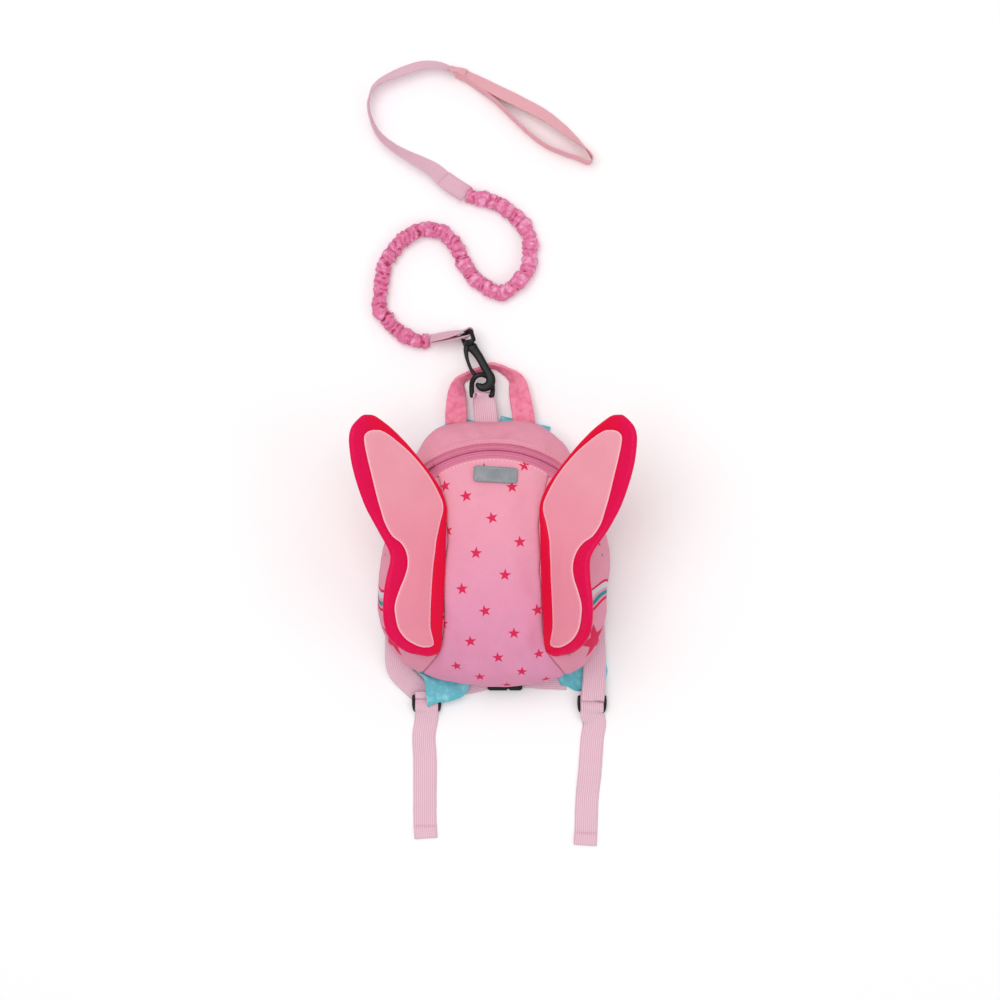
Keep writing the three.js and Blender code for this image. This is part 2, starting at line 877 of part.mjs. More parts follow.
// Slider with its pull folded flat on it, lying on the tapes near the zip's left end
function addSlider() {
  const middle = ZIP_INNER + ZIP_SLOT / 2;
  const shape = shapeOf(roundedBox(SLIDER_LENGTH, SLIDER_WIDTH, SLIDER_WIDTH / 4));
  const body = toSolid(plate(shape, SLIDER_HEIGHT));
  const pullLength = SLIDER_LENGTH * 1.4;
  const pullWidth = SLIDER_WIDTH / 2;
  const pull = box(pullLength, pullWidth, CLOTH, pullLength / 3, 0, SLIDER_HEIGHT / 2);
  const geometry = fromSolid(body.add(pull));
  const [x, y] = onArc(-SLIDER_ANGLE, middle);
  const [x1, y1] = onArc(-SLIDER_ANGLE + 2, middle);
  const along = point(x1 - x, y1 - y, bodyHeight(x1, y1) - bodyHeight(x, y)).normalize();
  const [x2, y2] = onArc(-SLIDER_ANGLE, middle + 2);
  const out = point(x2 - x, y2 - y, bodyHeight(x2, y2) - bodyHeight(x, y));
  out.addScaledVector(along, -out.dot(along)).normalize();
  const normal = along.clone().cross(out);
  const lift = SLIDER_HEIGHT / 2 + 2 * GAP - ZIP_SINK;
  const at = point(x, y, bodyHeight(x, y)).addScaledVector(normal, lift);
  geometry.applyMatrix4(new THREE.Matrix4().makeBasis(along, out, normal).setPosition(at));
  add("zip_slider", geometry, "grey");
}

function addLabel() {
  const columns = [
    [-1, 0.72],
    [-0.96, 0.9],
    [-0.88, 1],
    [-0.45, 1],
    [0, 1],
    [0.45, 1],
    [0.88, 1],
    [0.96, 0.9],
    [1, 0.72],
  ];
  const shares = [-1, -0.5, 0, 0.5, 1];
  const turn = rad(LABEL_TURN);
  const rings = columns.map(([across, tall]) => {
    const at = (share, lift) => {
      const u = (across * LABEL_WIDTH) / 2;
      const v = (share * tall * LABEL_HEIGHT) / 2;
      const x = LABEL_X + u * Math.cos(turn) - v * Math.sin(turn);
      const y = LABEL_Y + u * Math.sin(turn) + v * Math.cos(turn);
      return point(x, y, bodyHeight(x, y) + lift);
    };
    return [
      ...shares.map((share) => at(share, GAP + LABEL_THICK)),
      ...[...shares].reverse().map((share) => at(share, GAP)),
    ];
  });
  add("label_patch", loft(rings), "grey");
}

// Wings

function seamX(y) {
  const rows = SIDE_SEAM.map(([x, up]) => [x * halfWidth, up * halfHeight]);
  const i = rows.findIndex(([, up], k) => k > 0 && up <= y);
  const [[x0, y0], [x1, y1]] = [rows[Math.max(i, 1) - 1], rows[Math.max(i, 1)]];
  return x0 + ((x1 - x0) * (y - y0)) / (y1 - y0);
}

const WING_TOP_SEAM = 0.4;
const WING_END_SEAM = -0.69;

// Middle of the wing's pad at a share of its span and of its length
function wingPoint(hand, u, v, lobeTilt) {
  const y = WING_FOOT_Y + v * WING_LENGTH;
  const held = THREE.MathUtils.clamp(y, WING_END_SEAM * halfHeight, WING_TOP_SEAM * halfHeight);
  const foot = seamX(held);
  const seat = bodyHeight(foot, held) + GAP + WING_EDGE / 2;
  const free = Math.max(seat, WING_BASE_LIFT);
  const base = THREE.MathUtils.lerp(seat, free, 1 - Math.exp(-u / 0.2));
  const blend = THREE.MathUtils.smoothstep(v, 0.3, 0.55);
  const tilt = rad(THREE.MathUtils.lerp(lobeTilt, WING_TILT, blend));
  const reach = u * WING_SPAN;
  const lift = WING_CURL * u * u;
  const out = foot + SEAM + reach * Math.cos(tilt) - lift * Math.sin(tilt);
  return {
    at: point(hand * out, y, base + reach * Math.sin(tilt) + lift * Math.cos(tilt)),
    normal: point(-hand * Math.sin(tilt), 0, Math.cos(tilt)),
  };
}

function rowEdges(rows, v) {
  const i = Math.max(1, rows.findIndex(([height]) => height >= v));
  const [low, high] = [rows[i - 1], rows[i]];
  const t = THREE.MathUtils.clamp((v - low[0]) / (high[0] - low[0]), 0, 1);
  return [1, 2].map((k) => THREE.MathUtils.lerp(low[k], high[k], t));
}

// Half thickness of the pad, full in the middle and thin at its edges
function wingSwell(u, v) {
  const [inner, outer] = rowEdges(WING_ROWS, v);
  const s = THREE.MathUtils.clamp((u - inner) / (outer - inner), 0, 1);
  const fullness = Math.min(1, (outer - inner) / 0.3);
  return WING_EDGE / 2 + ((WING_THICK - WING_EDGE) / 2) * fullness * (1 - Math.abs(2 * s - 1) ** 3);
}

function padRings(rows, hand, lobeTilt, low, high) {
  const shares = [0, 0.1, 0.32, 0.62, 0.88, 1];
  return rows.map(([v, inner, outer]) => {
    const at = (share, level) => {
      const u = THREE.MathUtils.lerp(inner, outer, share);
      const { at: middle, normal } = wingPoint(hand, u, v, lobeTilt);
      return middle.addScaledVector(normal, level(u, v));
    };
    return [
      ...shares.map((share) => at(share, high)),
      ...[...shares].reverse().map((share) => at(share, low)),
    ];
  });
}

function addWing(side, hand, lobeTilt) {
  const under = (u, v) => -wingSwell(u, v);
  const pad = padRings(WING_ROWS, hand, lobeTilt, under, wingSwell);
  const seat = (u, v) => wingSwell(u, v) + INSET_GAP;
  const face = (u, v) => seat(u, v) + INSET_THICK;
  const inset = padRings(INSET_ROWS, hand, lobeTilt, seat, face);
  add("wing_" + side, loft(pad), "crimson");
  add("wing_inset_" + side, loft(inset), "salmon");
}

// Handle, tab, ring and hook

const topEdge = halfHeight * edgeShare(Math.PI / 2) * (1 - RIM_TUCK);
const HANDLE_Z = TOP_Z - HANDLE_THICK / 2;
const FRONT_OF_TOP = topEdge + GAP;
const eyeHalf = WEB_WIDTH / 2 + EYE_CLEAR + EYE_RAIL;
const LEAD_Z =
  eyeHalf * Math.sin(rad(EYE_LEAN)) + (EYE_THICK / 2) * Math.cos(rad(EYE_LEAN)) + GAP;

function addHandle() {
  const reach = halfHeight * edgeShare(Math.PI / 2);
  const rows = HANDLE_ROUTE.map(([x, y, drop, ...rest]) => [
    x,
    reach + y,
    THREE.MathUtils.lerp(HANDLE_Z, HANDLE_TOP_Z, drop),
    ...rest,
  ]);
  add("carry_handle", ribbon(rows, HANDLE_WIDTH, HANDLE_THICK), "handle");
}

const ringBar = point(RING_X, FRONT_OF_TOP + TAB_LENGTH, LEAD_Z);
const ringAcross = point(Math.cos(rad(RING_TILT)), 0, -Math.sin(rad(RING_TILT)));
const ringTop = ringBar.clone().add(point(0, RING_HEIGHT, 0));

function addTab() {
  const root = point(RING_X + TAB_SHIFT, FRONT_OF_TOP + 1, HANDLE_Z);
  const geometry = hairpin({
    root,
    rootSide: point(1, 0, 0),
    bar: ringBar,
    barSide: ringAcross,
    width: WEB_WIDTH,
    thick: WEB_THICK,
    barRadius: RING_RADIUS,
  });
  add("ring_tab", geometry, "webbing");
}

function addRing() {
  const half = RING_PATH;
  const loop = [...half, ...half.slice(1, -1).reverse().map(([x, y]) => [-x, y])];
  const along = point(0, 1, 0);
  const normal = ringAcross.clone().cross(along);
  const rings = loop.map(([x, y], i) => {
    const [x0, y0] = loop[(i + loop.length - 1) % loop.length];
    const [x1, y1] = loop[(i + 1) % loop.length];
    const dx = ((x1 - x0) * RING_WIDTH) / 2;
    const dy = (y1 - y0) * RING_HEIGHT;
    const length = Math.hypot(dx, dy);
    const out = ringAcross.clone().multiplyScalar(dy / length).addScaledVector(along, -dx / length);
    const at = ringBar.clone().addScaledVector(ringAcross, (x * RING_WIDTH) / 2);
    at.addScaledVector(along, y * RING_HEIGHT);
    return Array.from({ length: LEAD_SIDES }, (_, k) => {
      const turn = (k * 2 * Math.PI) / LEAD_SIDES;
      return at
        .clone()
        .addScaledVector(out, RING_RADIUS * Math.cos(turn))
        .addScaledVector(normal, RING_RADIUS * Math.sin(turn));
    });
  });
  add("d_ring", loft(rings, true), "black");
}

// The hook's own axes: across it, and from its bend towards its eye
const hookAcross = point(Math.cos(rad(HOOK_TURN)), Math.sin(rad(HOOK_TURN)), 0);
const hookAlong = point(-Math.sin(rad(HOOK_TURN)), Math.cos(rad(HOOK_TURN)), 0);
const hookBend = ringTop
  .clone()
  .addScaledVector(hookAcross, -HOOK_SEAT[0] * HOOK_WIDTH)
  .addScaledVector(hookAlong, -HOOK_SEAT[1] * HOOK_LENGTH);
const HUB_START = HOOK_LENGTH + GAP;
const EYE_START = HUB_START + HUB_DROP;
const EYE_LENGTH = 2 * EYE_BAR + EYE_OPENING;
const eyeEnd = hookBend.clone().addScaledVector(hookAlong, EYE_START + EYE_LENGTH);
const eyeBar = eyeEnd.clone().addScaledVector(hookAlong, -EYE_BAR / 2);
const eyeAcross = hookAcross
  .clone()
  .multiplyScalar(Math.cos(rad(EYE_LEAN)))
  .addScaledVector(UP, Math.sin(rad(EYE_LEAN)));

function addHook() {
  const scaled = (rows) => rows.map(([x, y]) => [x * HOOK_WIDTH, y * HOOK_LENGTH]);
  const shape = shapeOf(scaled(HOOK_EDGE));
  shape.holes.push(shapeOf(scaled(HOOK_OPENING)));
  const body = toSolid(plate(shape, HOOK_THICK, HOOK_BEVEL));
  const slit = box(HOOK_WIDTH / 2, HOOK_SLIT, 2 * HOOK_THICK, 0, 0, 0)
    .rotate([0, 0, -30])
    .translate([-0.4 * HOOK_WIDTH, 0.3 * HOOK_LENGTH, 0]);
  const headStart = EYE_START + EYE_BAR + GAP;
  const post = rod(POST_RADIUS, HOOK_LENGTH - 2 * HOOK_BEVEL, headStart + GAP);
  const head = rod(POST_HEAD_RADIUS, headStart, headStart + POST_HEAD_THICK);
  const geometry = fromSolid(body.subtract(slit).add(post).add(head));
  const basis = new THREE.Matrix4().makeBasis(hookAcross, hookAlong, UP).setPosition(hookBend);
  add("snap_hook", geometry.applyMatrix4(basis), "black");
}

function addEye() {
  const opening = WEB_WIDTH + 2 * EYE_CLEAR;
  const frame = shapeOf(roundedBox(2 * eyeHalf, EYE_LENGTH, EYE_BAR / 2));
  frame.holes.push(shapeOf(roundedBox(opening, EYE_OPENING, GAP)));
  const plateSolid = toSolid(plate(frame, EYE_THICK)).translate([0, EYE_START + EYE_LENGTH / 2, 0]);
  const hub = rod(HUB_RADIUS, HUB_START, EYE_START + EYE_BAR);
  const bore = rod(POST_RADIUS + GAP, 0, EYE_START + EYE_BAR + GAP);
  const geometry = fromSolid(plateSolid.add(hub).subtract(bore));
  const out = eyeAcross.clone().cross(hookAlong);
  const basis = new THREE.Matrix4().makeBasis(eyeAcross, hookAlong, out).setPosition(hookBend);
  add("swivel_eye", geometry.applyMatrix4(basis), "black");
}

// Lead

const fromEye = (x, y, z) => point(eyeEnd.x + x, eyeEnd.y + y, z);
const ELASTIC_Z = ELASTIC_RADIUS + GAP;

function addHookWebbing() {
  const [x, y] = ELASTIC_ROUTE[0];
  const end = fromEye(x, y, (WEB_WIDTH / 2) * Math.sin(rad(HOOK_WEB_LEAN)) + WEB_THICK);
  const root = end.clone().lerp(eyeBar, (2 * GAP) / end.distanceTo(eyeBar));
  const heading = eyeBar.clone().sub(root).normalize();
  const level = UP.clone().cross(heading).normalize();
  const rootSide = level
    .multiplyScalar(-Math.cos(rad(HOOK_WEB_LEAN)))
    .addScaledVector(UP, Math.sin(rad(HOOK_WEB_LEAN)));
  const geometry = hairpin({
    root,
    rootSide,
    bar: eyeBar,
    barSide: eyeAcross,
    width: WEB_WIDTH,
    thick: WEB_THICK,
    barRadius: Math.hypot(EYE_BAR, EYE_THICK) / 2,
  });
  add("hook_webbing", geometry, "webbing");
}

// Gathered tube: full and pinched rings by turns, fuller towards the webbing
function addElastic() {
  const route = ELASTIC_ROUTE.map(([x, y]) => fromEye(x, y, ELASTIC_Z));
  const curve = new THREE.CatmullRomCurve3(route, false, "centripetal");
  const count = 2 * Math.round(curve.getLength() / RUFFLE_PITCH);
  const rings = [];
  for (let i = 0; i <= count; i++) {
    const t = i / count;
    const at = curve.getPointAt(t);
    const along = curve.getTangentAt(t);
    const level = UP.clone().cross(along).normalize();
    const full = i % 2 === 1;
    const swell = 0.9 + 0.1 * t;
    const wander = 0.05 * Math.sin(2.3 * i);
    const radius = (full ? ELASTIC_RADIUS : ELASTIC_NECK) * (swell + wander - 0.05);
    rings.push(
      Array.from({ length: LEAD_SIDES }, (_, k) => {
        const turn = (k * 2 * Math.PI) / LEAD_SIDES;
        const skew = full ? 0.9 * Math.sin(turn + i) : 0;
        return at
          .clone()
          .addScaledVector(level, radius * Math.cos(turn))
          .addScaledVector(UP, radius * Math.sin(turn))
          .addScaledVector(along, skew);
      }),
    );
  }
  add("leash_elastic", loft(rings), "satin");
}

function leadRows(route) {
  return route.map(([x, y, lean]) => {
    const z = (WEB_WIDTH / 2) * Math.sin(rad(lean)) + WEB_THICK;
    const at = fromEye(x, y, z);
    return [at.x, at.y, at.z, lean];
  });
}

function addLeadWebbing() {
  add("leash_webbing", ribbon(leadRows(LEAD_ROUTE), WEB_WIDTH, WEB_THICK), "webbing");
  add("hand_loop", ribbon(leadRows(LOOP_ROUTE), WEB_WIDTH, WEB_THICK), "loop");
}

// Shoulder straps, locks and webbing

// Across and up from the bag's middle for a place measured in from its side and up from its bottom
function fromCorner(hand, [inset, up, height]) {
  return [hand * (halfWidth - inset), up - halfHeight, height];
}

function addStrap(side, hand, upper, end) {
  const rows = [
    ...upper.map(([x, y, ...rest]) => [x * halfWidth, y * halfHeight, ...rest]),
    ...end.map(([inset, up, ...rest]) => [hand * (halfWidth - inset), up - halfHeight, ...rest]),
  ];
  const places = rows.map(([x, y, wide, under, thick]) => ({
    at: point(x, y, under),
    wide: (wide * STRAP_WIDTH) / 2,
    thick: (thick * STRAP_THICK) / 6,
  }));
  const section = [
    [-1, 0.3],
    [-0.93, 0],
    [0, 0],
    [0.93, 0],
    [1, 0.3],
    [1, 0.7],
    [0.93, 1],
    [0, 1],
    [-0.93, 1],
    [-1, 0.7],
  ];
  const rings = places.map(({ at, wide, thick }, i) => {
    const before = places[Math.max(i - 1, 0)].at;
    const after = places[Math.min(i + 1, places.length - 1)].at;
    const along = after.clone().sub(before).setZ(0).normalize();
    const across = UP.clone().cross(along);
    return section.map(([s, n]) =>
      at.clone().addScaledVector(across, s * wide).addScaledVector(UP, n * thick),
    );
  });
  add("shoulder_strap_" + side, loft(rings), "teal");
}

const LOCK_STEP = LOCK_BAR + LOCK_SLOT;
const lockLeft = fromCorner(-1, LOCK_LEFT);
const lockRight = fromCorner(1, LOCK_RIGHT);
const anchorLeft = ANCHOR_LEFT.map((row) => fromCorner(-1, row));
const anchorRight = ANCHOR_RIGHT.map((row) => fromCorner(1, row));
const buckleAt = [BUCKLE_AT[0], BUCKLE_AT[1] - halfHeight, BUCKLE_AT[2]];

// Frame with three bars, lying flat
function addLock(side, [x, y, z]) {
  const opening = WEB_WIDTH + 2 * GAP;
  const width = opening + 2 * LOCK_RAIL;
  const depth = 2 * LOCK_STEP + LOCK_BAR;
  const shape = shapeOf(roundedBox(width, depth, LOCK_BAR / 2));
  for (const hand of [-1, 1]) {
    const slot = roundedBox(opening, LOCK_SLOT, GAP).map(([u, v]) => [
      u,
      v + (hand * LOCK_STEP) / 2,
    ]);
    shape.holes.push(shapeOf(slot));
  }
  const geometry = plate(shape, LOCK_THICK).translate(x, y, z + LOCK_THICK / 2);
  add("ladder_lock_" + side, fromSolid(toSolid(geometry)), "black");
}

function addLockLoop(side, [x, y, z]) {
  const bar = point(x, y + LOCK_STEP, z + LOCK_THICK / 2);
  const root = bar.clone().add(point(0, LOCK_LOOP, 0));
  const geometry = hairpin({
    root,
    rootSide: point(1, 0, 0),
    bar,
    barSide: point(1, 0, 0),
    width: WEB_WIDTH,
    thick: WEB_THICK,
    barRadius: Math.hypot(LOCK_BAR, LOCK_THICK) / 2,
    parallel: true,
  });
  add("lock_loop_" + side, geometry, "webbing");
}

// Webbing over the near bar and the middle bar, down through the far slot and under the far bar
function addStrapWebbing(side, anchor, tail, [x, y, z]) {
  const half = WEB_THICK / 2;
  const top = z + LOCK_THICK;
  const loopTop = z + LOCK_THICK / 2 + Math.hypot(LOCK_BAR, LOCK_THICK) / 2 + GAP + WEB_THICK;
  const slot = -LOCK_STEP / 2;
  const threaded = [
    [0, LOCK_STEP + 7.5, loopTop + GAP + half],
    [0, LOCK_STEP + 3, loopTop + GAP + half],
    [0, LOCK_STEP, loopTop + GAP + half],
    [0, LOCK_STEP / 2, top + 2 * GAP + half + 0.9],
    [0, 0, top + GAP + half],
    [0, slot / 2, top + half],
    [0, slot + 0.2, top - half / 4],
    [0, slot, z + LOCK_THICK / 2],
    [0, slot - 0.2, z + half / 4],
    [0, 1.5 * slot, z - half],
    [0, -LOCK_STEP, z - GAP - half],
    [0, -LOCK_STEP - 3, z - GAP - half],
  ];
  const rows = [
    ...anchor,
    ...threaded.map(([dx, dy, height]) => [x + dx, y + dy, height]),
    ...tail.map(([dx, dy, height]) => [x + dx, y + dy, height]),
  ];
  add("strap_webbing_" + side, ribbon(rows, WEB_WIDTH, WEB_THICK), "webbing");
}

// Side-release buckle, fastened, flat on the floor
function addBuckle() {
  const [x, y, z] = buckleAt;
  const plugLength = BUCKLE_LENGTH * PLUG_SHARE;
  const socketLength = BUCKLE_LENGTH - plugLength - GAP;
  const socketAt = x - BUCKLE_LENGTH / 2 + socketLength / 2;
  const plugAt = x + BUCKLE_LENGTH / 2 - plugLength / 2;
  const block = (length) =>
    toSolid(plate(shapeOf(roundedBox(length, BUCKLE_WIDTH, BUCKLE_WALL)), BUCKLE_THICK, BUCKLE_WALL / 2));
  const mouthWidth = BUCKLE_WIDTH - 2 * BUCKLE_WALL;
  const mouthHeight = BUCKLE_THICK - 2 * BUCKLE_WALL;
  const mouthEnd = socketAt + socketLength / 2;
  const depth = PRONG_LENGTH + GAP;
  const mouth = box(2 * depth, mouthWidth, mouthHeight, mouthEnd, y, z);
  const socket = block(socketLength).translate([socketAt, y, z]).subtract(mouth);
  const prongWidth = mouthWidth - 2 * GAP;
  const prongHeight = mouthHeight - 2 * GAP;
  const prongEnd = plugAt - plugLength / 2;
  const prong = box(2 * PRONG_LENGTH, prongWidth, prongHeight, prongEnd, y, z);
  const plug = block(plugLength).translate([plugAt, y, z]).add(prong);
  add("chest_buckle_socket", fromSolid(socket), "black");
  add("chest_buckle_plug", fromSolid(plug), "black");
}

function addChestStraps() {
  const [x, y, z] = buckleAt;
  const reach = BUCKLE_LENGTH / 2 + 2 * GAP;
  const rows = (hand, table) =>
    table.map(([out, up, rise]) => [x + hand * (reach + out), y + up, z + rise]);
  add("chest_strap_left", ribbon(rows(-1, CHEST_LEFT), WEB_WIDTH, WEB_THICK), "webbing");
  add("chest_strap_right", ribbon(rows(1, CHEST_RIGHT), WEB_WIDTH, WEB_THICK), "webbing");
}

// The frame's origin is under the middle of everything but the lead
function seatGroup() {
  const lead = ["leash_elastic", "leash_webbing", "hand_loop", "hook_webbing"];
  const bounds = new THREE.Box3();
  group.children
    .filter((mesh) => !lead.includes(mesh.name))
    .forEach((mesh) => {
      mesh.geometry.computeBoundingBox();
      bounds.union(mesh.geometry.boundingBox);
    });
  const middle = bounds.getCenter(point(0, 0, 0));
  group.children.forEach((mesh) => mesh.geometry.translate(-middle.x, -middle.y, -bounds.min.z));
}

addBody();
addBackPanel();
addZip();
addSlider();
addLabel();
addWing("left", -1, LOBE_TILT_LEFT);
addWing("right", 1, LOBE_TILT_RIGHT);
addHandle();
addTab();
addRing();
addHook();
addEye();
addHookWebbing();
addElastic();
addLeadWebbing();
addStrap("left", -1, STRAP_LEFT, STRAP_LEFT_END);
addStrap("right", 1, STRAP_RIGHT, STRAP_RIGHT_END);
addLock("left", lockLeft);
addLock("right", lockRight);
addLockLoop("left", lockLeft);
addLockLoop("right", lockRight);
addStrapWebbing("left", [], TAIL_LEFT, lockLeft);
add("strap_anchor_left", ribbon(anchorLeft, WEB_WIDTH, WEB_THICK), "webbing");
addStrapWebbing("right", anchorRight, TAIL_RIGHT, lockRight);
addBuckle();
addChestStraps();
seatGroup();

export default group;
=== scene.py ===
import bisect
import math

import bmesh
import bpy
import numpy as np
from mathutils import Matrix, Vector, noise


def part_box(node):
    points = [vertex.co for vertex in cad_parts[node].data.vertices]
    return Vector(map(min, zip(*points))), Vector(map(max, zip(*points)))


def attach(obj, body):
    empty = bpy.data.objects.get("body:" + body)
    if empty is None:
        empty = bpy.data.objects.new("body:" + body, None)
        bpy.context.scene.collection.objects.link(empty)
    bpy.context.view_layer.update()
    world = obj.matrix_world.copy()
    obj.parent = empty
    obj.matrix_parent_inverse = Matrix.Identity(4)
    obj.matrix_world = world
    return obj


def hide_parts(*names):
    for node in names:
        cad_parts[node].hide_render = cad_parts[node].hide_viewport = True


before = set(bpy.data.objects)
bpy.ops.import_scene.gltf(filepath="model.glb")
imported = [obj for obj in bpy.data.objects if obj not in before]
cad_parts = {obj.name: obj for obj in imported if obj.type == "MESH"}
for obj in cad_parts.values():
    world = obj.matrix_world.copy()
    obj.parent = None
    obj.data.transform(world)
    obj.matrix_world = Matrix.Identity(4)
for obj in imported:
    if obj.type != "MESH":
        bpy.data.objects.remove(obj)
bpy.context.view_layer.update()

# Sizes in mm, in the bag's own axes: its middle on the floor, +Y to its top, +Z up
HALF_WIDTH, HALF_HEIGHT, RISE = 96.0, 115.0, 79.0
RIM_Z, BACK_Z, BACK_THICK = 13.6, 8.3, 5.0
CROWN, TUCK = 2.4, 0.05
WEB, WEB_THICK, GAP = 20.0, 1.4, 0.3
UP = Vector((0, 0, 1))
TURN = 2 * math.pi

LOCK_LEFT, LOCK_RIGHT = (-58.0, -131.0, 2.4), (85.5, -131.5, 3.4)
low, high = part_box("ladder_lock_left")
SHIFT = Vector(((low[0] + high[0]) * 500 - LOCK_LEFT[0], (low[1] + high[1]) * 500 - LOCK_LEFT[1], 0))

SHELL_EDGE = [
    1.077, 1.024, 0.98, 1.045, 1.07, 1.052, 1.006, 1.042, 1.085, 1.03, 0.97, 0.96,
    1.024, 1.105, 1.18, 1.19, 1.108, 1.045, 1.034, 1.055, 1.122, 1.207, 1.17, 1.089,
]
DENTS = [
    (0.24, -0.22, 0.2, 1.6), (-0.26, 0.2, 0.18, 1.2), (0.02, -0.7, 0.22, 1.8),
    (0.66, 0.2, 0.22, 3), (-0.68, 0.16, 0.22, 3), (0.74, -0.36, 0.16, 2.4),
    (-0.74, -0.3, 0.16, 2.2), (0.2, 0.92, 0.16, 2), (-0.34, 0.88, 0.16, 2),
]


# Curves

def spline_at(rows, place, joined=False):
    """Catmull-Rom through rows of numbers, at a place counted in rows."""
    last = len(rows) - 1
    start = math.floor(place) if joined else min(math.floor(place), last - 1)
    t = place - start
    pick = (lambda i: rows[i % len(rows)]) if joined else (lambda i: rows[min(max(i, 0), last)])
    before, here, after, beyond = (pick(start + k) for k in (-1, 0, 1, 2))
    out = []
    for p0, p1, p2, p3 in zip(before, here, after, beyond):
        pull, push = (p2 - p0) / 2, (p3 - p1) / 2
        out.append((((2 * p1 - 2 * p2 + pull + push) * t - 3 * p1 + 3 * p2 - 2 * pull - push) * t + pull) * t + p1)
    return out


def smooth_rows(rows, steps=12, joined=False):
    spans = len(rows) if joined else len(rows) - 1
    out = [spline_at(rows, i / steps, joined) for i in range(spans * steps)]
    return out if joined else out + [list(rows[-1])]


def even_rows(rows, step, size=3):
    """The same line again with rows at even steps of length, measured on the first size columns."""
    run = [0.0]
    for a, b in zip(rows, rows[1:]):
        run.append(run[-1] + math.dist(a[:size], b[:size]))
    count = max(2, round(run[-1] / step))
    out, k = [], 0
    for i in range(count + 1):
        want = run[-1] * i / count
        while k < len(run) - 2 and run[k + 1] < want:
            k += 1
        share = (want - run[k]) / max(run[k + 1] - run[k], 1e-9)
        out.append([a + (b - a) * share for a, b in zip(rows[k], rows[k + 1])])
    return out


def lerp(a, b, share):
    return a + (b - a) * share


def ease(value, start, end):
    share = min(max((value - start) / (end - start), 0.0), 1.0)
    return share * share * (3 - 2 * share)


def hump(distance, width):
    return math.exp(-((distance / width) ** 2))


def wander(x, y=0.0, z=0.0):
    return noise.noise(Vector((x, y, z)))


# Materials

def paint(red, green, blue):
    """Linear colour from the 0 to 255 numbers of a screen colour."""
    shares = (red / 255, green / 255, blue / 255)
    return tuple(c / 12.92 if c < 0.04 else ((c + 0.055) / 1.055) ** 2.4 for c in shares) + (1.0,)


class Reading:
    """A number that varies over the surface. Sums with it add Math nodes."""

    def __init__(self, finish, socket):
        self.finish, self.socket = finish, socket

    def sum(self, operation, *others):
        return self.finish.node("ShaderNodeMath", {"operation": operation}, dict(enumerate([self, *others])))

    def __add__(self, other): return self.sum("ADD", other)
    def __sub__(self, other): return self.sum("SUBTRACT", other)
    def __mul__(self, other): return self.sum("MULTIPLY", other)
    def __truediv__(self, other): return self.sum("DIVIDE", other)
    def __pow__(self, other): return self.sum("POWER", other)
    def __rsub__(self, other): return self.finish.number(other).sum("SUBTRACT", self)
    def __rtruediv__(self, other): return self.finish.number(other).sum("DIVIDE", self)
    def __neg__(self): return self * -1.0
    __radd__, __rmul__ = __add__, __mul__

    def sine(self): return self.sum("SINE")
    def size(self): return self.sum("ABSOLUTE")
    def floor(self): return self.sum("FLOOR")
    def part(self): return self.sum("FRACT")
    def least(self, other): return self.sum("MINIMUM", other)

    def step(self, start, end):
        """0 below start and 1 above end, smooth between."""
        sockets = {"Value": self, "From Min": start, "From Max": end}
        return self.finish.node("ShaderNodeMapRange", {"interpolation_type": "SMOOTHSTEP"}, sockets)

    def wave(self, pitch):
        """0 to 1 and back over each pitch."""
        return (self * (TURN / pitch)).sine() * 0.5 + 0.5


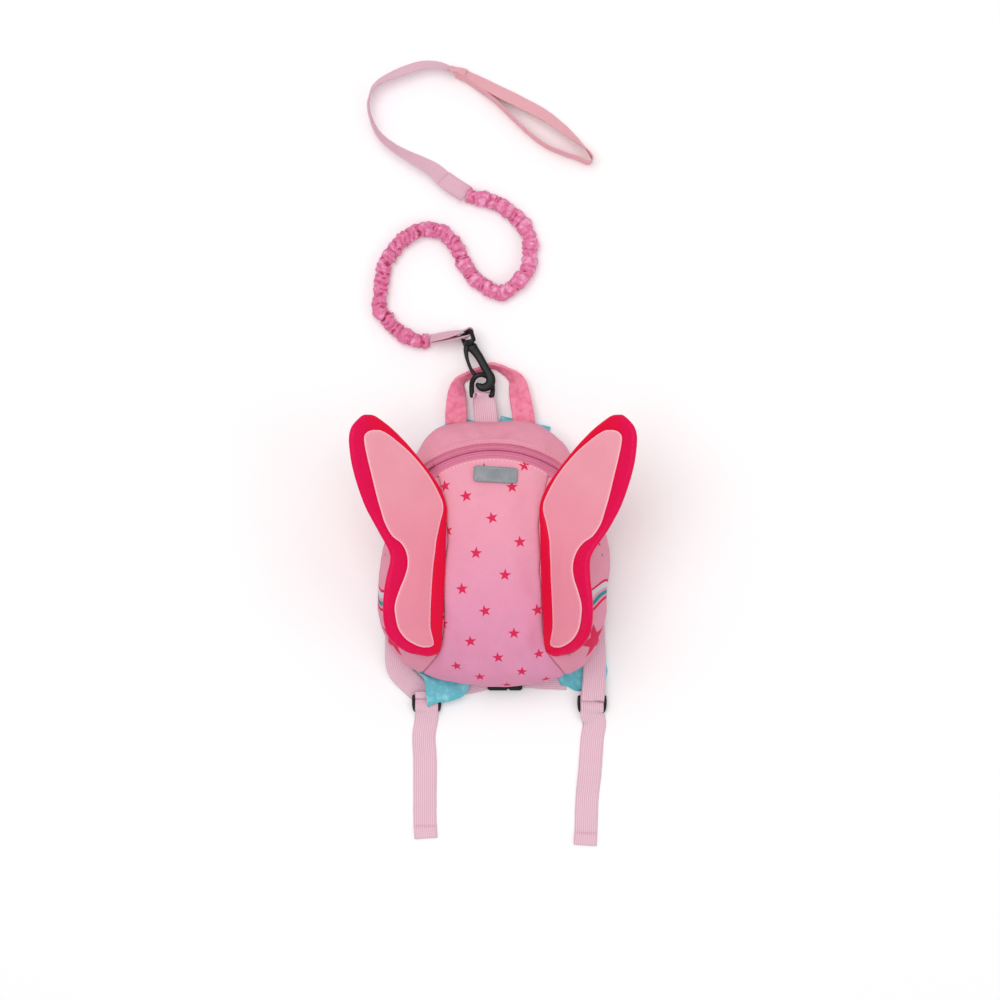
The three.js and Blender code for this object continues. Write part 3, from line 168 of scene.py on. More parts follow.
class Finish:
    """A material and the few ways that its nodes are joined."""

    def __init__(self, name, **plain):
        self.material = bpy.data.materials.new(name)
        self.material.use_nodes = True
        self.tree = self.material.node_tree
        self.shader = next(n for n in self.tree.nodes if n.type == "BSDF_PRINCIPLED")
        for socket, value in plain.items():
            self.shader.inputs[socket.replace("_", " ").title().replace("Ior", "IOR")].default_value = value

    def node(self, kind, settings=None, sockets=None, take=0):
        made = self.tree.nodes.new(kind)
        for name, value in (settings or {}).items():
            if name == "stops":
                ramp = made.color_ramp
                while len(ramp.elements) < len(value):
                    ramp.elements.new(1.0)
                for element, (place, colour) in zip(ramp.elements, value):
                    element.position, element.color = place, colour
            else:
                setattr(made, name, value)
        for name, value in (sockets or {}).items():
            if isinstance(value, Reading):
                self.tree.links.new(value.socket, made.inputs[name])
            else:
                made.inputs[name].default_value = value
        return Reading(self, made.outputs[take])

    def number(self, value):
        return self.node("ShaderNodeMath", {"operation": "ADD"}, {0: float(value), 1: 0.0})

    def place(self):
        """Place on the object, in mm."""
        where = self.node("ShaderNodeTexCoord", {}, {}, "Object")
        return self.node("ShaderNodeVectorMath", {"operation": "SCALE"}, {0: where, "Scale": 1000.0})

    def parts(self, vector):
        split = self.node("ShaderNodeSeparateXYZ", {}, {"Vector": vector})
        sockets = split.socket.node.outputs
        return [Reading(self, sockets[i]) for i in range(3)]

    def chart(self, name):
        """The two numbers of one of the piece's own maps."""
        return self.parts(self.node("ShaderNodeUVMap", {"uv_map": name}))[:2]

    def cloud(self, vector, pitch, detail=2.0, rough=0.5):
        settings = {"noise_dimensions": "3D"}
        sockets = {"Vector": vector, "Scale": 1.0 / pitch, "Detail": detail, "Roughness": rough}
        return self.node("ShaderNodeTexNoise", settings, sockets, "Fac")

    def mix(self, share, first, second):
        """Colours by share; a plain number or a reading."""
        sockets = {0: share, 6: first, 7: second}
        return self.node("ShaderNodeMix", {"data_type": "RGBA", "clamp_factor": True}, sockets, 2)

    def shade(self, colour, share):
        """Colour times a grey reading."""
        grey = self.node("ShaderNodeCombineXYZ", {}, {0: share, 1: share, 2: share})
        return self.node("ShaderNodeVectorMath", {"operation": "MULTIPLY"}, {0: colour, 1: grey})

    def bump(self, height, strength=1.0):
        """Relief of height mm."""
        return self.node("ShaderNodeBump", {}, {"Strength": strength, "Distance": 0.001, "Height": height})

    def wear(self, **looks):
        for name, value in looks.items():
            socket = self.shader.inputs[name.replace("_", " ").title()]
            if isinstance(value, Reading):
                self.tree.links.new(value.socket, socket)
            else:
                socket.default_value = value
        return self.material


def plain_weave(chart, pitch):
    """Height from 0 to 1 of threads crossing over and under."""
    across, along = chart
    over = (across * (math.pi / pitch)).sine() * (along * (math.pi / pitch)).sine()
    return over * 0.5 + 0.5


def star_mask(finish):
    """1 inside the five-pointed star of the print map, whose tips are at 1."""
    across, along = finish.chart("print")
    distance = (across * across + along * along) ** 0.5
    angle = across.sum("ARCTAN2", along)
    fold = ((angle * (5 / TURN) + 0.5).part() - 0.5).size() * (TURN / 5)
    notch = Vector((0.42 * math.cos(math.pi / 5), 0.42 * math.sin(math.pi / 5)))
    right, up = distance * fold.sum("COSINE"), distance * fold.sine()
    inside = (right - 1.0) * notch.y - up * (notch.x - 1.0)
    return 1.0 - (inside * (1 / 0.75)).step(-0.02, 0.02)


def bag_cloth(name, upper, lower, stars, stripes=False):
    """Woven polyester, printed, with a soft sheen."""
    finish = Finish(name, roughness=0.78, specular_ior_level=0.2)
    where = finish.place()
    height = finish.parts(where)[1]
    across, along = finish.chart("cloth")
    # Painted shade: the colour goes from the lighter upper colour at the top of the bag to the darker lower colour at
    # the bottom.
    base = finish.mix(height.step(-60.0, 120.0), lower, upper)
    blush = finish.cloud(where, 38.0, 2.0)
    base = finish.mix(blush.step(0.35, 0.75) * 0.25, base, paint(224, 138, 160))
    if stripes:
        wave = along + (across * (TURN / 62.0)).sine() * 5.0
        for start, end, colour in stripes:
            band = wave.step(start - 0.35, start + 0.35) * (1.0 - wave.step(end - 0.35, end + 0.35))
            base = finish.mix(band, base, colour)
    if stars:
        tint = finish.chart("tint")[0]
        ink = finish.mix(tint, paint(214, 12, 74), paint(34, 142, 146))
        base = finish.mix(star_mask(finish) * 0.94, base, ink)
    weave = plain_weave((across, along), 0.62)
    speck = finish.cloud(where, 1.5, 3.0, 0.7)
    soft = finish.cloud(where, 9.0, 3.0)
    tone = 0.87 + weave * 0.05 + speck * 0.13 + soft * 0.09
    height = weave * 0.06 + soft * 0.5 + speck * 0.12
    rough = 0.7 + speck * 0.2
    return finish.wear(base_color=finish.shade(base, tone), roughness=rough, normal=finish.bump(height, 0.7))


def webbing_cloth(name, face, groove_shade, rib=1.35, column=1.75):
    """Narrow woven tape: cross ribs, lengthwise columns and a plain selvedge, with painted shade in the weave's
    grooves.
    """
    finish = Finish(name, roughness=0.72, specular_ior_level=0.2)
    across, along = finish.chart("cloth")
    from_edge = finish.chart("edge")[0]
    columns = across.wave(column)
    shift = (across * (1 / column)).floor() * 0.5
    ribs = (along + shift * rib).wave(rib)
    selvedge = 1.0 - from_edge.step(0.9, 1.5)
    woven = (ribs * 0.45 + 0.55) * (columns * 0.6 + 0.4) * (1.0 - selvedge * 0.5)
    woven = woven + along.wave(rib * 0.6) * selvedge * 0.5
    fibre = finish.cloud(finish.place(), 0.9, 2.0)
    drift = finish.cloud(finish.place(), 22.0, 1.0)
    # Painted shade: the weave's grooves take the darker groove colour, its raised threads the face colour.
    base = finish.mix(woven.step(0.12, 0.62), groove_shade, face)
    tone = 0.93 + fibre * 0.1 + drift * 0.05
    height = woven * 0.4 + fibre * 0.06
    rough = 0.62 + fibre * 0.25
    return finish.wear(base_color=finish.shade(base, tone), roughness=rough, normal=finish.bump(height, 0.8))


def satin_cloth(name, deep, mid, painted_highlight):
    """Shiny gathered satin: painted shade in its creases and painted highlights on its puffs."""
    finish = Finish(name, roughness=0.36, sheen_weight=0.1, sheen_roughness=0.3)
    where = finish.place()
    along = finish.chart("cloth")[1]
    fullness = finish.chart("edge")[0]
    fleck = finish.cloud(where, 2.6, 3.0)
    # Painted shade: the deep colour fills the creases, where fullness is low.
    base = finish.mix(fullness.step(0.0, 0.62), deep, mid)
    # Painted highlight: patches of the highlight colour on the full puffs.
    painted_sheen = finish.cloud(where, 4.5, 2.0, 0.6)
    base = finish.mix((painted_sheen * fullness).step(0.4, 0.62) * 0.85, base, painted_highlight)
    thread = along.wave(0.5)
    height = fleck * 0.28 + finish.cloud(where, 0.9, 2.0) * 0.1 + thread * 0.02
    rough = 0.3 + fleck * 0.16
    return finish.wear(base_color=base, roughness=rough, normal=finish.bump(height, 0.8))


def border_cloth(name):
    """Crimson satin of the wing's border, with a painted sheen: more magenta on its outer side."""
    finish = Finish(name, roughness=0.4, specular_ior_level=0.12)
    where = finish.place()
    across, along = finish.chart("cloth")
    outer = finish.chart("edge")[1]
    # Painted sheen: the colour turns magenta towards the outer side, broken up by a cloud.
    outer_sheen = (outer * 0.7 + finish.cloud(where, 26.0, 2.0) * 0.6 - 0.25).step(0.0, 1.0)
    base = finish.mix(outer_sheen, paint(224, 2, 54), paint(222, 4, 80))
    fleck = finish.cloud(where, 3.2, 3.0)
    twill = (across + along * 1.0).wave(0.8)
    base = finish.mix(fleck.step(0.45, 0.85) * 0.3, base, paint(188, 0, 56))
    height = fleck * 0.3 + twill * 0.03 + finish.cloud(where, 1.1, 2.0) * 0.07
    rough = 0.34 + fleck * 0.22
    return finish.wear(base_color=base, roughness=rough, normal=finish.bump(height, 0.7))


def inset_cloth(name):
    """Salmon weave with a pale turned edge and a row of stitches inside it."""
    finish = Finish(name, roughness=0.75, specular_ior_level=0.2)
    where = finish.place()
    across, along = finish.chart("cloth")
    from_edge, run = finish.chart("edge")
    height = finish.parts(where)[1]
    # Painted light: lighter towards the top of the wing, darker lower down.
    base = finish.mix(height.step(20.0, 110.0), paint(231, 141, 161), paint(233, 156, 170))
    base = finish.mix(finish.cloud(where, 30.0, 2.0).step(0.3, 0.75) * 0.4, base, paint(228, 140, 160))
    rim = 1.0 - from_edge.step(0.7, 1.3)
    base = finish.mix(rim * 0.75, base, paint(252, 196, 204))
    row = 1.0 - ((from_edge - 1.9).size()).step(0.2, 0.45)
    dash = run.wave(2.4).step(0.2, 0.4)
    base = finish.mix(row * dash * 0.6, base, paint(250, 182, 192))
    weave = plain_weave((across, along), 0.6)
    speck = finish.cloud(where, 1.3, 2.0)
    height = weave * 0.05 + speck * 0.06 + row * dash * 0.18 - row * 0.1
    tone = 0.95 + weave * 0.05 + speck * 0.06
    return finish.wear(base_color=finish.shade(base, tone), roughness=0.68 + speck * 0.2,
                       normal=finish.bump(height, 0.7))


def strap_cloth(name):
    """Glossy teal lining, finely crinkled, with painted shade along its crinkles."""
    finish = Finish(name, roughness=0.38, sheen_weight=0.05, sheen_roughness=0.4)
    where = finish.place()
    crinkle = finish.cloud(where, 11.0, 2.0, 0.5)
    fold = ((crinkle - 0.5).size() * 4.0).least(1.0)
    # Painted shade: the darker teal lies along the crinkles' valleys, the lighter teal on the rest.
    base = finish.mix(fold.step(0.0, 0.9), paint(92, 184, 198), paint(138, 216, 226))
    height = fold * 0.5 + finish.cloud(where, 1.2, 2.0) * 0.08
    rough = 0.3 + crinkle * 0.25
    return finish.wear(base_color=base, roughness=rough, normal=finish.bump(height, 0.8))


def soft_cloth(name, face, fold, pitch=0.6, wrinkle=0.25):
    """Plain soft cloth with small wrinkles, painted darker in their valleys as painted shade."""
    finish = Finish(name, roughness=0.72, specular_ior_level=0.2)
    where = finish.place()
    crease = finish.cloud(where, 6.5, 4.0, 0.6)
    weave = plain_weave(finish.chart("cloth"), pitch)
    # Painted shade: the fold colour lies in the wrinkles' valleys.
    base = finish.mix(crease.step(0.3, 0.62), fold, face)
    speck = finish.cloud(where, 1.2, 2.0)
    tone = 0.95 + weave * 0.04 + speck * 0.07
    height = crease * wrinkle * 2.0 + weave * 0.05 + speck * 0.05
    return finish.wear(base_color=finish.shade(base, tone), roughness=0.64 + speck * 0.22,
                       normal=finish.bump(height, 0.7))


def zip_cloth(name, face, dark):
    """Zip tape: fine lengthwise twill."""
    finish = Finish(name, roughness=0.6, sheen_weight=0.05)
    across, along = finish.chart("cloth")
    rib = across.wave(1.1)
    herring = (along + (across * (TURN / 2.2)).sine() * 0.5).wave(0.9)
    speck = finish.cloud(finish.place(), 1.2, 2.0)
    base = finish.mix(rib * 0.5 + herring * 0.3 + speck * 0.3, dark, face)
    return finish.wear(base_color=base, roughness=0.5 + speck * 0.25,
                       normal=finish.bump(rib * 0.14 + herring * 0.08, 0.8))


def moulded(name, colour, rough, grain=0.05):
    """Moulded plastic with fine grain and scuffs."""
    finish = Finish(name, roughness=rough, specular_ior_level=0.3)
    where = finish.place()
    fine = finish.cloud(where, 0.7, 3.0)
    scuff = finish.cloud(where, 5.0, 4.0, 0.65)
    worn = tuple(min(1.0, c * 1.6 + 0.002) for c in colour[:3]) + (1.0,)
    base = finish.mix(scuff.step(0.55, 0.8) * 0.35, colour, worn)
    return finish.wear(base_color=base, roughness=rough - 0.08 + scuff * 0.22, normal=finish.bump(fine * grain, 0.6))


def label_rubber(name):
    """Grey moulded patch with a fine pebbled face and a sewn rim."""
    finish = Finish(name, roughness=0.5)
    where = finish.place()
    from_edge, run = finish.chart("edge")
    pebble = finish.cloud(where, 0.8, 2.0)
    groove_shade = 1.0 - (from_edge - 1.7).size().step(0.35, 0.7)
    dash = run.wave(2.1).step(0.25, 0.5)
    base = finish.mix(finish.cloud(where, 9.0, 2.0).step(0.3, 0.8), paint(128, 133, 138), paint(146, 150, 155))
    # Painted shade: the sunk groove of the sewn rim is painted darker.
    base = finish.mix(groove_shade * 0.6, base, paint(104, 108, 112))
    base = finish.mix(groove_shade * dash * 0.85, base, paint(176, 180, 184))
    height = pebble * 0.05 - groove_shade * 0.3 + groove_shade * dash * 0.28
    return finish.wear(base_color=base, roughness=0.42 + pebble * 0.22, normal=finish.bump(height, 0.9))


def thread(name, colour):
    """Sewing thread with its twist."""
    finish = Finish(name, roughness=0.55, sheen_weight=0.1)
    where = finish.place()
    x, y, z = finish.parts(where)
    twist = (x * 0.7 + y * 0.7 + z).wave(0.35)
    fuzz = finish.cloud(where, 0.5, 2.0)
    base = finish.mix(fuzz, tuple(c * 0.85 for c in colour[:3]) + (1.0,), colour)
    return finish.wear(base_color=base, roughness=0.5 + fuzz * 0.2, normal=finish.bump(twist * 0.05 + fuzz * 0.04, 0.8))


CRIMSON, TEAL_INK = paint(214, 12, 74), paint(34, 142, 146)
STRIPES = [
    (-50.0, -47.2, CRIMSON), (-45.0, -41.0, TEAL_INK), (-38.0, -32.5, paint(206, 200, 206)),
    (-32.5, -30.0, CRIMSON),
]
# Upper colour first, lower colour second: the darker lower colour is painted shade.
FRONT_CLOTH = bag_cloth("front_print_cloth", paint(233, 158, 176), paint(222, 146, 180), True)
SIDE_CLOTH = bag_cloth("side_print_cloth", paint(227, 152, 172), paint(224, 148, 172), True, STRIPES)
TOP_CLOTH = bag_cloth("top_cloth", paint(227, 150, 170), paint(224, 142, 164), False)
# Face and fold colours of the back; the fold colour is painted shade.
BACK_CLOTH = soft_cloth("back_cloth", paint(232, 164, 186), paint(220, 148, 172), 0.9)
# Face and groove colours of each webbing; the groove colour is painted shade.
WEB_CLOTH = webbing_cloth("strap_webbing_cloth", paint(236, 200, 213), paint(208, 150, 172))
LEAD_CLOTH = webbing_cloth("lead_webbing_cloth", paint(234, 194, 208), paint(206, 148, 172))
LOOP_CLOTH = webbing_cloth("loop_webbing_cloth", paint(243, 184, 192), paint(222, 140, 154))
# Crease, middle and highlight colours: painted shade, the satin's own pink and painted highlight.
SATIN = satin_cloth("lead_satin", paint(168, 22, 72), paint(222, 112, 156), paint(236, 168, 204))
BORDER = border_cloth("wing_border_satin")
INSET = inset_cloth("wing_inset_cloth")
TEAL = strap_cloth("strap_teal_satin")
# Face and fold colours of the handle; the fold colour is painted shade.
HANDLE = soft_cloth("handle_cloth", paint(238, 142, 166), paint(226, 112, 146), 0.55, 0.3)
ZIP_TAPE = zip_cloth("zip_tape_cloth", paint(228, 134, 164), paint(200, 100, 136))
ZIP_COIL = moulded("zip_coil_plastic", paint(178, 66, 110), 0.45)
ZIP_METAL = moulded("zip_slider_enamel", paint(206, 108, 142), 0.4)
BLACK = moulded("hardware_black_plastic", (0.0035, 0.003, 0.0038, 1.0), 0.4)
LABEL = label_rubber("label_grey_rubber")
PINK_THREAD = thread("pink_thread", paint(246, 178, 196))
PALE_THREAD = thread("pale_thread", paint(252, 214, 224))


# Pieces

MAPS = ("cloth", "edge", "print", "tint")


def finish_piece(name, bm, material, nodes=()):
    """Puts a mesh made in mm into the frame as a named piece."""
    bmesh.ops.recalc_face_normals(bm, faces=bm.faces)
    bmesh.ops.translate(bm, verts=bm.verts, vec=SHIFT)
    bmesh.ops.scale(bm, verts=bm.verts, vec=(0.001,) * 3)
    for face in bm.faces:
        face.smooth = True
    mesh = bpy.data.meshes.new(name)
    bm.to_mesh(mesh)
    bm.free()
    piece = bpy.data.objects.new(name, mesh)
    bpy.context.scene.collection.objects.link(piece)
    mesh.materials.append(material)
    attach(piece, "root")
    if nodes:
        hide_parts(*nodes)
    return piece


def cloth_grid(columns, rows, corner):
    """A grid whose corner in column i and row j goes to the place, with the maps, that corner(i, j) gives."""
    bm = bmesh.new()
    bmesh.ops.create_grid(bm, x_segments=columns, y_segments=rows, size=0.5)
    layers = [bm.loops.layers.uv.new(name) for name in MAPS]
    bm.verts.index_update()
    charts = []
    for vertex in bm.verts:
        i, j = round((vertex.co.x + 0.5) * columns), round((vertex.co.y + 0.5) * rows)
        place, *maps = corner(i, j)
        vertex.co = place
        charts.append(maps)
    for face in bm.faces:
        for loop in face.loops:
            for layer, value in zip(layers, charts[loop.vert.index]):
                loop[layer].uv = value
    return bm


def weld(bm, distance=0.004):
    bmesh.ops.remove_doubles(bm, verts=bm.verts, dist=distance)
    bmesh.ops.dissolve_degenerate(bm, dist=0.001, edges=bm.edges)
    return bm


def fill_ends(bm):
    bmesh.ops.holes_fill(bm, edges=bm.edges)
    return bm


def print_stars(bm, stars):
    """Each face takes its print map from the nearest star: place in star radii, and its ink."""
    cloth, prints, tint = (bm.loops.layers.uv[name] for name in ("cloth", "print", "tint"))
    for face in bm.faces:
        across = sum(loop[cloth].uv.x for loop in face.loops) / len(face.loops)
        along = sum(loop[cloth].uv.y for loop in face.loops) / len(face.loops)
        x, y, radius, turn, ink = min(stars, key=lambda s: ((s[0] - across) ** 2 + (s[1] - along) ** 2) / s[2] ** 2)
        co, si = math.cos(math.radians(turn)), math.sin(math.radians(turn))
        for loop in face.loops:
            dx, dy = (loop[cloth].uv.x - x) / radius, (loop[cloth].uv.y - y) / radius
            loop[prints].uv = (dx * co + dy * si, dy * co - dx * si)
            loop[tint].uv = (ink, 0)
    return bm


# Bands of webbing and cloth

def stations_along(rows, step=1.2):
    """Place, across and out at even steps of a route of place and lean, with shares of width and thickness."""
    full = [list(row) + [0, 1, 1][len(row) - 3:] for row in rows]
    line = even_rows(smooth_rows(full), step)
    out = []
    for i, row in enumerate(line):
        before, after = Vector(line[max(i - 1, 0)][:3]), Vector(line[min(i + 1, len(line) - 1)][:3])
        along = (after - before).normalized()
        level = UP.cross(along).normalized()
        rise = along.cross(level)
        lean = math.radians(row[3])
        side = level * math.cos(lean) + rise * math.sin(lean)
        out.append((Vector(row[:3]), side, along.cross(side), row[4], row[5]))
    return out


def hairpin(root, root_side, bar, bar_side, thick, bar_radius, parallel=False):
    """Stations of a doubled band that leaves its root and turns round a bar."""
    turn_radius = bar_radius + GAP + thick / 2
    root_spread = turn_radius if parallel else GAP + thick / 2
    heading = (bar - root).normalized()

    def frame_at(share):
        side = root_side.lerp(bar_side, share ** 3).normalized()
        along = (heading - side * heading.dot(side)).normalized()
        return side, along, along.cross(side)

    def layer(share, sign):
        side, along, normal = frame_at(share)
        spread = lerp(root_spread, turn_radius, share ** 2)
        return (root.lerp(bar, share) + normal * sign * spread, side, normal * sign, 1, 1)

    shares = [i / 16 for i in range(17)]
    out = [layer(share, 1) for share in shares]
    side, along, normal = frame_at(1)
    for degrees in range(75, -76, -15):
        away = along * math.cos(math.radians(degrees)) + normal * math.sin(math.radians(degrees))
        out.append((bar + away * turn_radius, side, away, 1, 1))
    return out + [layer(share, -1) for share in reversed(shares)]


def band(stations, width, thick, ripple=0.25, seed=0.0, sides=28, floor=0.15):
    """Closed woven band through its stations, with selvedges and a slight ripple."""
    count = len(stations)
    run = [0.0]
    for (a, *_), (b, *_) in zip(stations, stations[1:]):
        run.append(run[-1] + (b - a).length)

    def corner(i, j):
        at, side, normal, wide, deep = stations[j]
        turn = TURN * i / sides
        across = math.cos(turn)
        face = math.copysign(max(1 - abs(across) ** 10, 0.0) ** 0.5, math.sin(turn)) if i % (sides // 2) else 0.0
        selvedge = 1 + 0.18 * hump(abs(across) - 0.93, 0.06)
        half = width * wide / 2 * (1 + 0.012 * wander(run[j] / 6, seed, across))
        lift = ripple * (wander(run[j] / 16, across * 0.7, seed) + 0.5 * wander(run[j] / 6, across * 1.5, seed + 7))
        end = min(j, count - 1 - j)
        close = 0.35 if end == 0 else 1.0
        place = at + side * across * half + normal * (face * selvedge * close * thick * deep / 2 + lift)
        place.z = max(place.z, floor + 0.02 * (1 + face))
        return (
            place, (across * width / 2, run[j]),
            ((1 - abs(across)) * width / 2, min(run[j], run[-1] - run[j])), (9, 9), (0, 0),
        )

    return fill_ends(weld(cloth_grid(sides, count - 1, corner)))


def stitches(name, line, pitch, length, radius, material):
    """A row of small sunk stitches along places with their outward directions."""
    bm = bmesh.new()
    rows = even_rows([[*at, *out] for at, out in line], pitch / 2)
    for k in range(1, len(rows) - 1, 2):
        at, out = Vector(rows[k][:3]), Vector(rows[k][3:]).normalized()
        along = (Vector(rows[k + 1][:3]) - Vector(rows[k - 1][:3])).normalized()
        side = out.cross(along).normalized()
        basis = Matrix((side, along, side.cross(along))).transposed().to_4x4()
        basis = Matrix.Translation(at) @ basis @ Matrix.Diagonal((radius, length / 2, radius, 1))
        bmesh.ops.create_uvsphere(bm, u_segments=6, v_segments=4, radius=1.0, matrix=basis)
    return finish_piece(name, bm, material)


# Camera

CAMERA_X, CAMERA_Y, CAMERA_Z = 5.66, 45.24, 1930.0
camera = bpy.data.objects.new("photo_camera", bpy.data.cameras.new("photo_camera"))
bpy.context.scene.collection.objects.link(camera)
camera.location = (Vector((CAMERA_X, CAMERA_Y, CAMERA_Z)) + SHIFT) * 0.001
camera.data.sensor_width = 36.0
camera.data.lens = 36.0 * CAMERA_Z / 870.0
camera.data.clip_start, camera.data.clip_end = 0.05, 20.0
bpy.context.scene.camera = camera


# Lead

RING_X, TAB_LENGTH, RING_HEIGHT, RING_RADIUS, RING_TILT = -8.5, 25.0, 17.5, 1.7, 45.0
HOOK_WIDTH, HOOK_LENGTH, HOOK_TURN = 18.2, 40.0, 18.2
EYE_BAR, EYE_OPENING, EYE_THICK, EYE_RAIL, EYE_CLEAR, EYE_LEAN = 3.0, 4.6, 3.0, 2.4, 0.9, 70.0
TOP_SHARE = SHELL_EDGE[6]
HANDLE_WIDTH, HANDLE_THICK, HANDLE_TOP_Z = 19.0, 2.2, 5.6
HANDLE_Z = BACK_Z + BACK_THICK - 1.2
TOP_FRONT = HALF_HEIGHT * TOP_SHARE * (1 - TUCK) + GAP


def bearing(degrees):
    return math.cos(math.radians(degrees)), math.sin(math.radians(degrees))


EYE_HALF = WEB / 2 + EYE_CLEAR + EYE_RAIL
LEAD_Z = EYE_HALF * bearing(EYE_LEAN)[1] + EYE_THICK / 2 * bearing(EYE_LEAN)[0] + GAP
ring_bar = Vector((RING_X, TOP_FRONT + TAB_LENGTH, LEAD_Z))
ring_across = Vector((bearing(RING_TILT)[0], 0, -bearing(RING_TILT)[1]))
ring_top = ring_bar + Vector((0, RING_HEIGHT, 0))
hook_across = Vector((*bearing(HOOK_TURN), 0))
hook_along = Vector((-bearing(HOOK_TURN)[1], bearing(HOOK_TURN)[0], 0))
hook_bend = ring_top - hook_across * 0.1375 * HOOK_WIDTH - hook_along * 0.27 * HOOK_LENGTH
HUB_START = HOOK_LENGTH + GAP
EYE_START = HUB_START + 1.0
EYE_LENGTH = 2 * EYE_BAR + EYE_OPENING
eye_end = hook_bend + hook_along * (EYE_START + EYE_LENGTH)
eye_bar = eye_end - hook_along * EYE_BAR / 2
eye_across = hook_across * bearing(EYE_LEAN)[0] + UP * bearing(EYE_LEAN)[1]

ELASTIC_ROUTE = [
    (-31.6, -6.9), (-42.6, -8), (-50.7, -4.5), (-61.2, 2.4), (-68.5, 10.6), (-74.6, 18.7), (-75.2, 28),
    (-74, 38.5), (-72.8, 47.8), (-70.5, 58.2), (-63.5, 69.8), (-54.2, 80.3), (-42.6, 87.2), (-31, 88.9),
    (-19.4, 85.5), (-9, 74.5), (-4.3, 64), (1.5, 54.7), (8.5, 45.4), (17.7, 38.5), (28.2, 34.4),
    (39.8, 38.5), (50.2, 48.9), (54.3, 59.4), (55.2, 71), (55, 81), (49.1, 93), (37.5, 104.6),
    (25.9, 111.6), (8.3, 116.4), (0.6, 119),
]
LEAD_ROUTE = [
    (-0.3, 119.3, 38), (-16.4, 129.8, 38), (-28.7, 140.7, 45), (-47.3, 150.7, 57), (-62.7, 159.3, 64),
    (-75.1, 170.1, 74), (-82, 183.9, 84), (-84.4, 197.9, 92), (-79.8, 211.8, 104), (-69, 219.5, 116),
    (-50.4, 227.2, 122), (-35, 231.1, 120), (-22.6, 230.3, 116), (-12.6, 226.4, 110),
]
LOOP_ROUTE = [
    (-10.6, 225.7, 110), (0.8, 222.4, 116), (22.3, 211, 126), (45.5, 199.4, 128), (68.6, 187.1, 124),
    (88.7, 171.6, 114), (102.6, 159.3, 98), (108.6, 151.4, 92), (108.6, 147.4, 90), (105, 146, 90),
    (96.4, 149.7, 90), (84.1, 153.8, 90), (68.6, 160.7, 90), (53.2, 172.3, 90), (37.7, 187.1, 90),
    (26.8, 197.9, 90), (19.1, 204, 90), (0.8, 217.6, 94), (-8.6, 222.2, 96),
]
ELASTIC_RADIUS, ELASTIC_LENGTH, LEAD_LENGTH = 6.9, 0.363, 0.213


def from_eye(x, y, z):
    return Vector((eye_end.x + x, eye_end.y + y, z))


def in_frame(points):
    return [tuple((Vector(p) + SHIFT) * 0.001) for p in points]


def lead_rows(route):
    rows = []
    for x, y, lean in route:
        at = from_eye(x, y, WEB / 2 * math.sin(math.radians(lean)) + WEB_THICK)
        rows.append((*at, lean))
    return rows


def make_elastic():
    """Gathered satin tube: puffs of uneven length, tight near the hook and fuller towards the webbing."""
    line = even_rows(smooth_rows([list(from_eye(x, y, ELASTIC_RADIUS + GAP)) for x, y in ELASTIC_ROUTE]), 0.55)
    count, sides = len(line), 56
    length = sum(math.dist(a, b) for a, b in zip(line, line[1:]))
    folds = [-2.0]
    while folds[-1] < length + 2:
        share = max(folds[-1], 0) / length
        pitch = lerp(3.4, 6.4, ease(share, 0.2, 0.9))
        folds.append(folds[-1] + pitch * (0.42 + 0.95 * abs(math.sin(len(folds) * 2.17)) ** 2))
    frames = []
    for i, at in enumerate(line):
        along = (Vector(line[min(i + 1, count - 1)]) - Vector(line[max(i - 1, 0)])).normalized()
        frames.append((Vector(at), UP.cross(along).normalized()))

    def crease_at(run, co, si):
        """Depth of the nearest creases at a place on the tube, and how far the cloth is slid along there."""
        slid = run + 3.4 * wander(co * 0.8, si * 0.8, run / 13) + 1.3 * wander(co * 1.8, si * 1.8, run / 5 + 9)
        k = bisect.bisect_right(folds, slid)
        depth = 0.0
        for n in (k - 1, k):
            if 0 <= n < len(folds):
                strength = 0.5 + 0.5 * abs(math.sin(n * 2.4))
                reach = min(max(0.8 + 1.1 * wander(n * 1.7, co * 1.1, si * 1.1), 0.0), 1.0)
                sharp = 0.6 + 0.6 * abs(math.sin(n * 1.3))
                depth += strength * reach * math.exp(-abs(slid - folds[n]) / sharp)
        return min(depth, 1.15), slid

    def corner(i, j):
        at, level = frames[j]
        run, turn = length * j / (count - 1), TURN * i / sides
        co, si = math.cos(turn), math.sin(turn)
        depth, slid = crease_at(run, co, si)
        tight = 1 - ease(run / length, 0.3, 0.75)
        swell = 1.5 * wander(slid / 8.5, co * 0.9, si * 0.9) + 0.9 * wander(slid / 3.6, co * 1.6, si * 1.6 + 5)
        pleat = 0.45 * wander(co * 3.4, si * 3.4, slid / 6) + 0.3 * wander(co * 6, si * 6, slid / 3.2)
        ruffle = tight * 0.7 * wander(slid / 1.5, co * 1.4, si * 1.4)
        radius = 6.9 + swell + pleat + ruffle - 3.0 * depth
        ends = min(run, length - run)
        radius *= 0.84 + 0.16 * ease(ends, 0, 6)
        if j in (0, count - 1):
            radius *= 0.6
        sway = 0.8 * wander(run / 10, 4.0) * ease(ends, 0, 20)
        place = at + level * (radius * co * 1.03 + sway) + UP * radius * si * 0.93
        place.z = max(place.z, 0.15 + 0.1 * (1 + si))
        # The edge map carries one less the crease depth; the satin paints shade in the creases from it.
        return place, (turn * 6, run), (1 - depth, run), (9, 9), (0, 0)

    bm = fill_ends(weld(cloth_grid(sides, count - 1, corner)))
    piece = finish_piece("lead_elastic", bm, SATIN, ["leash_elastic"])
    return piece, line


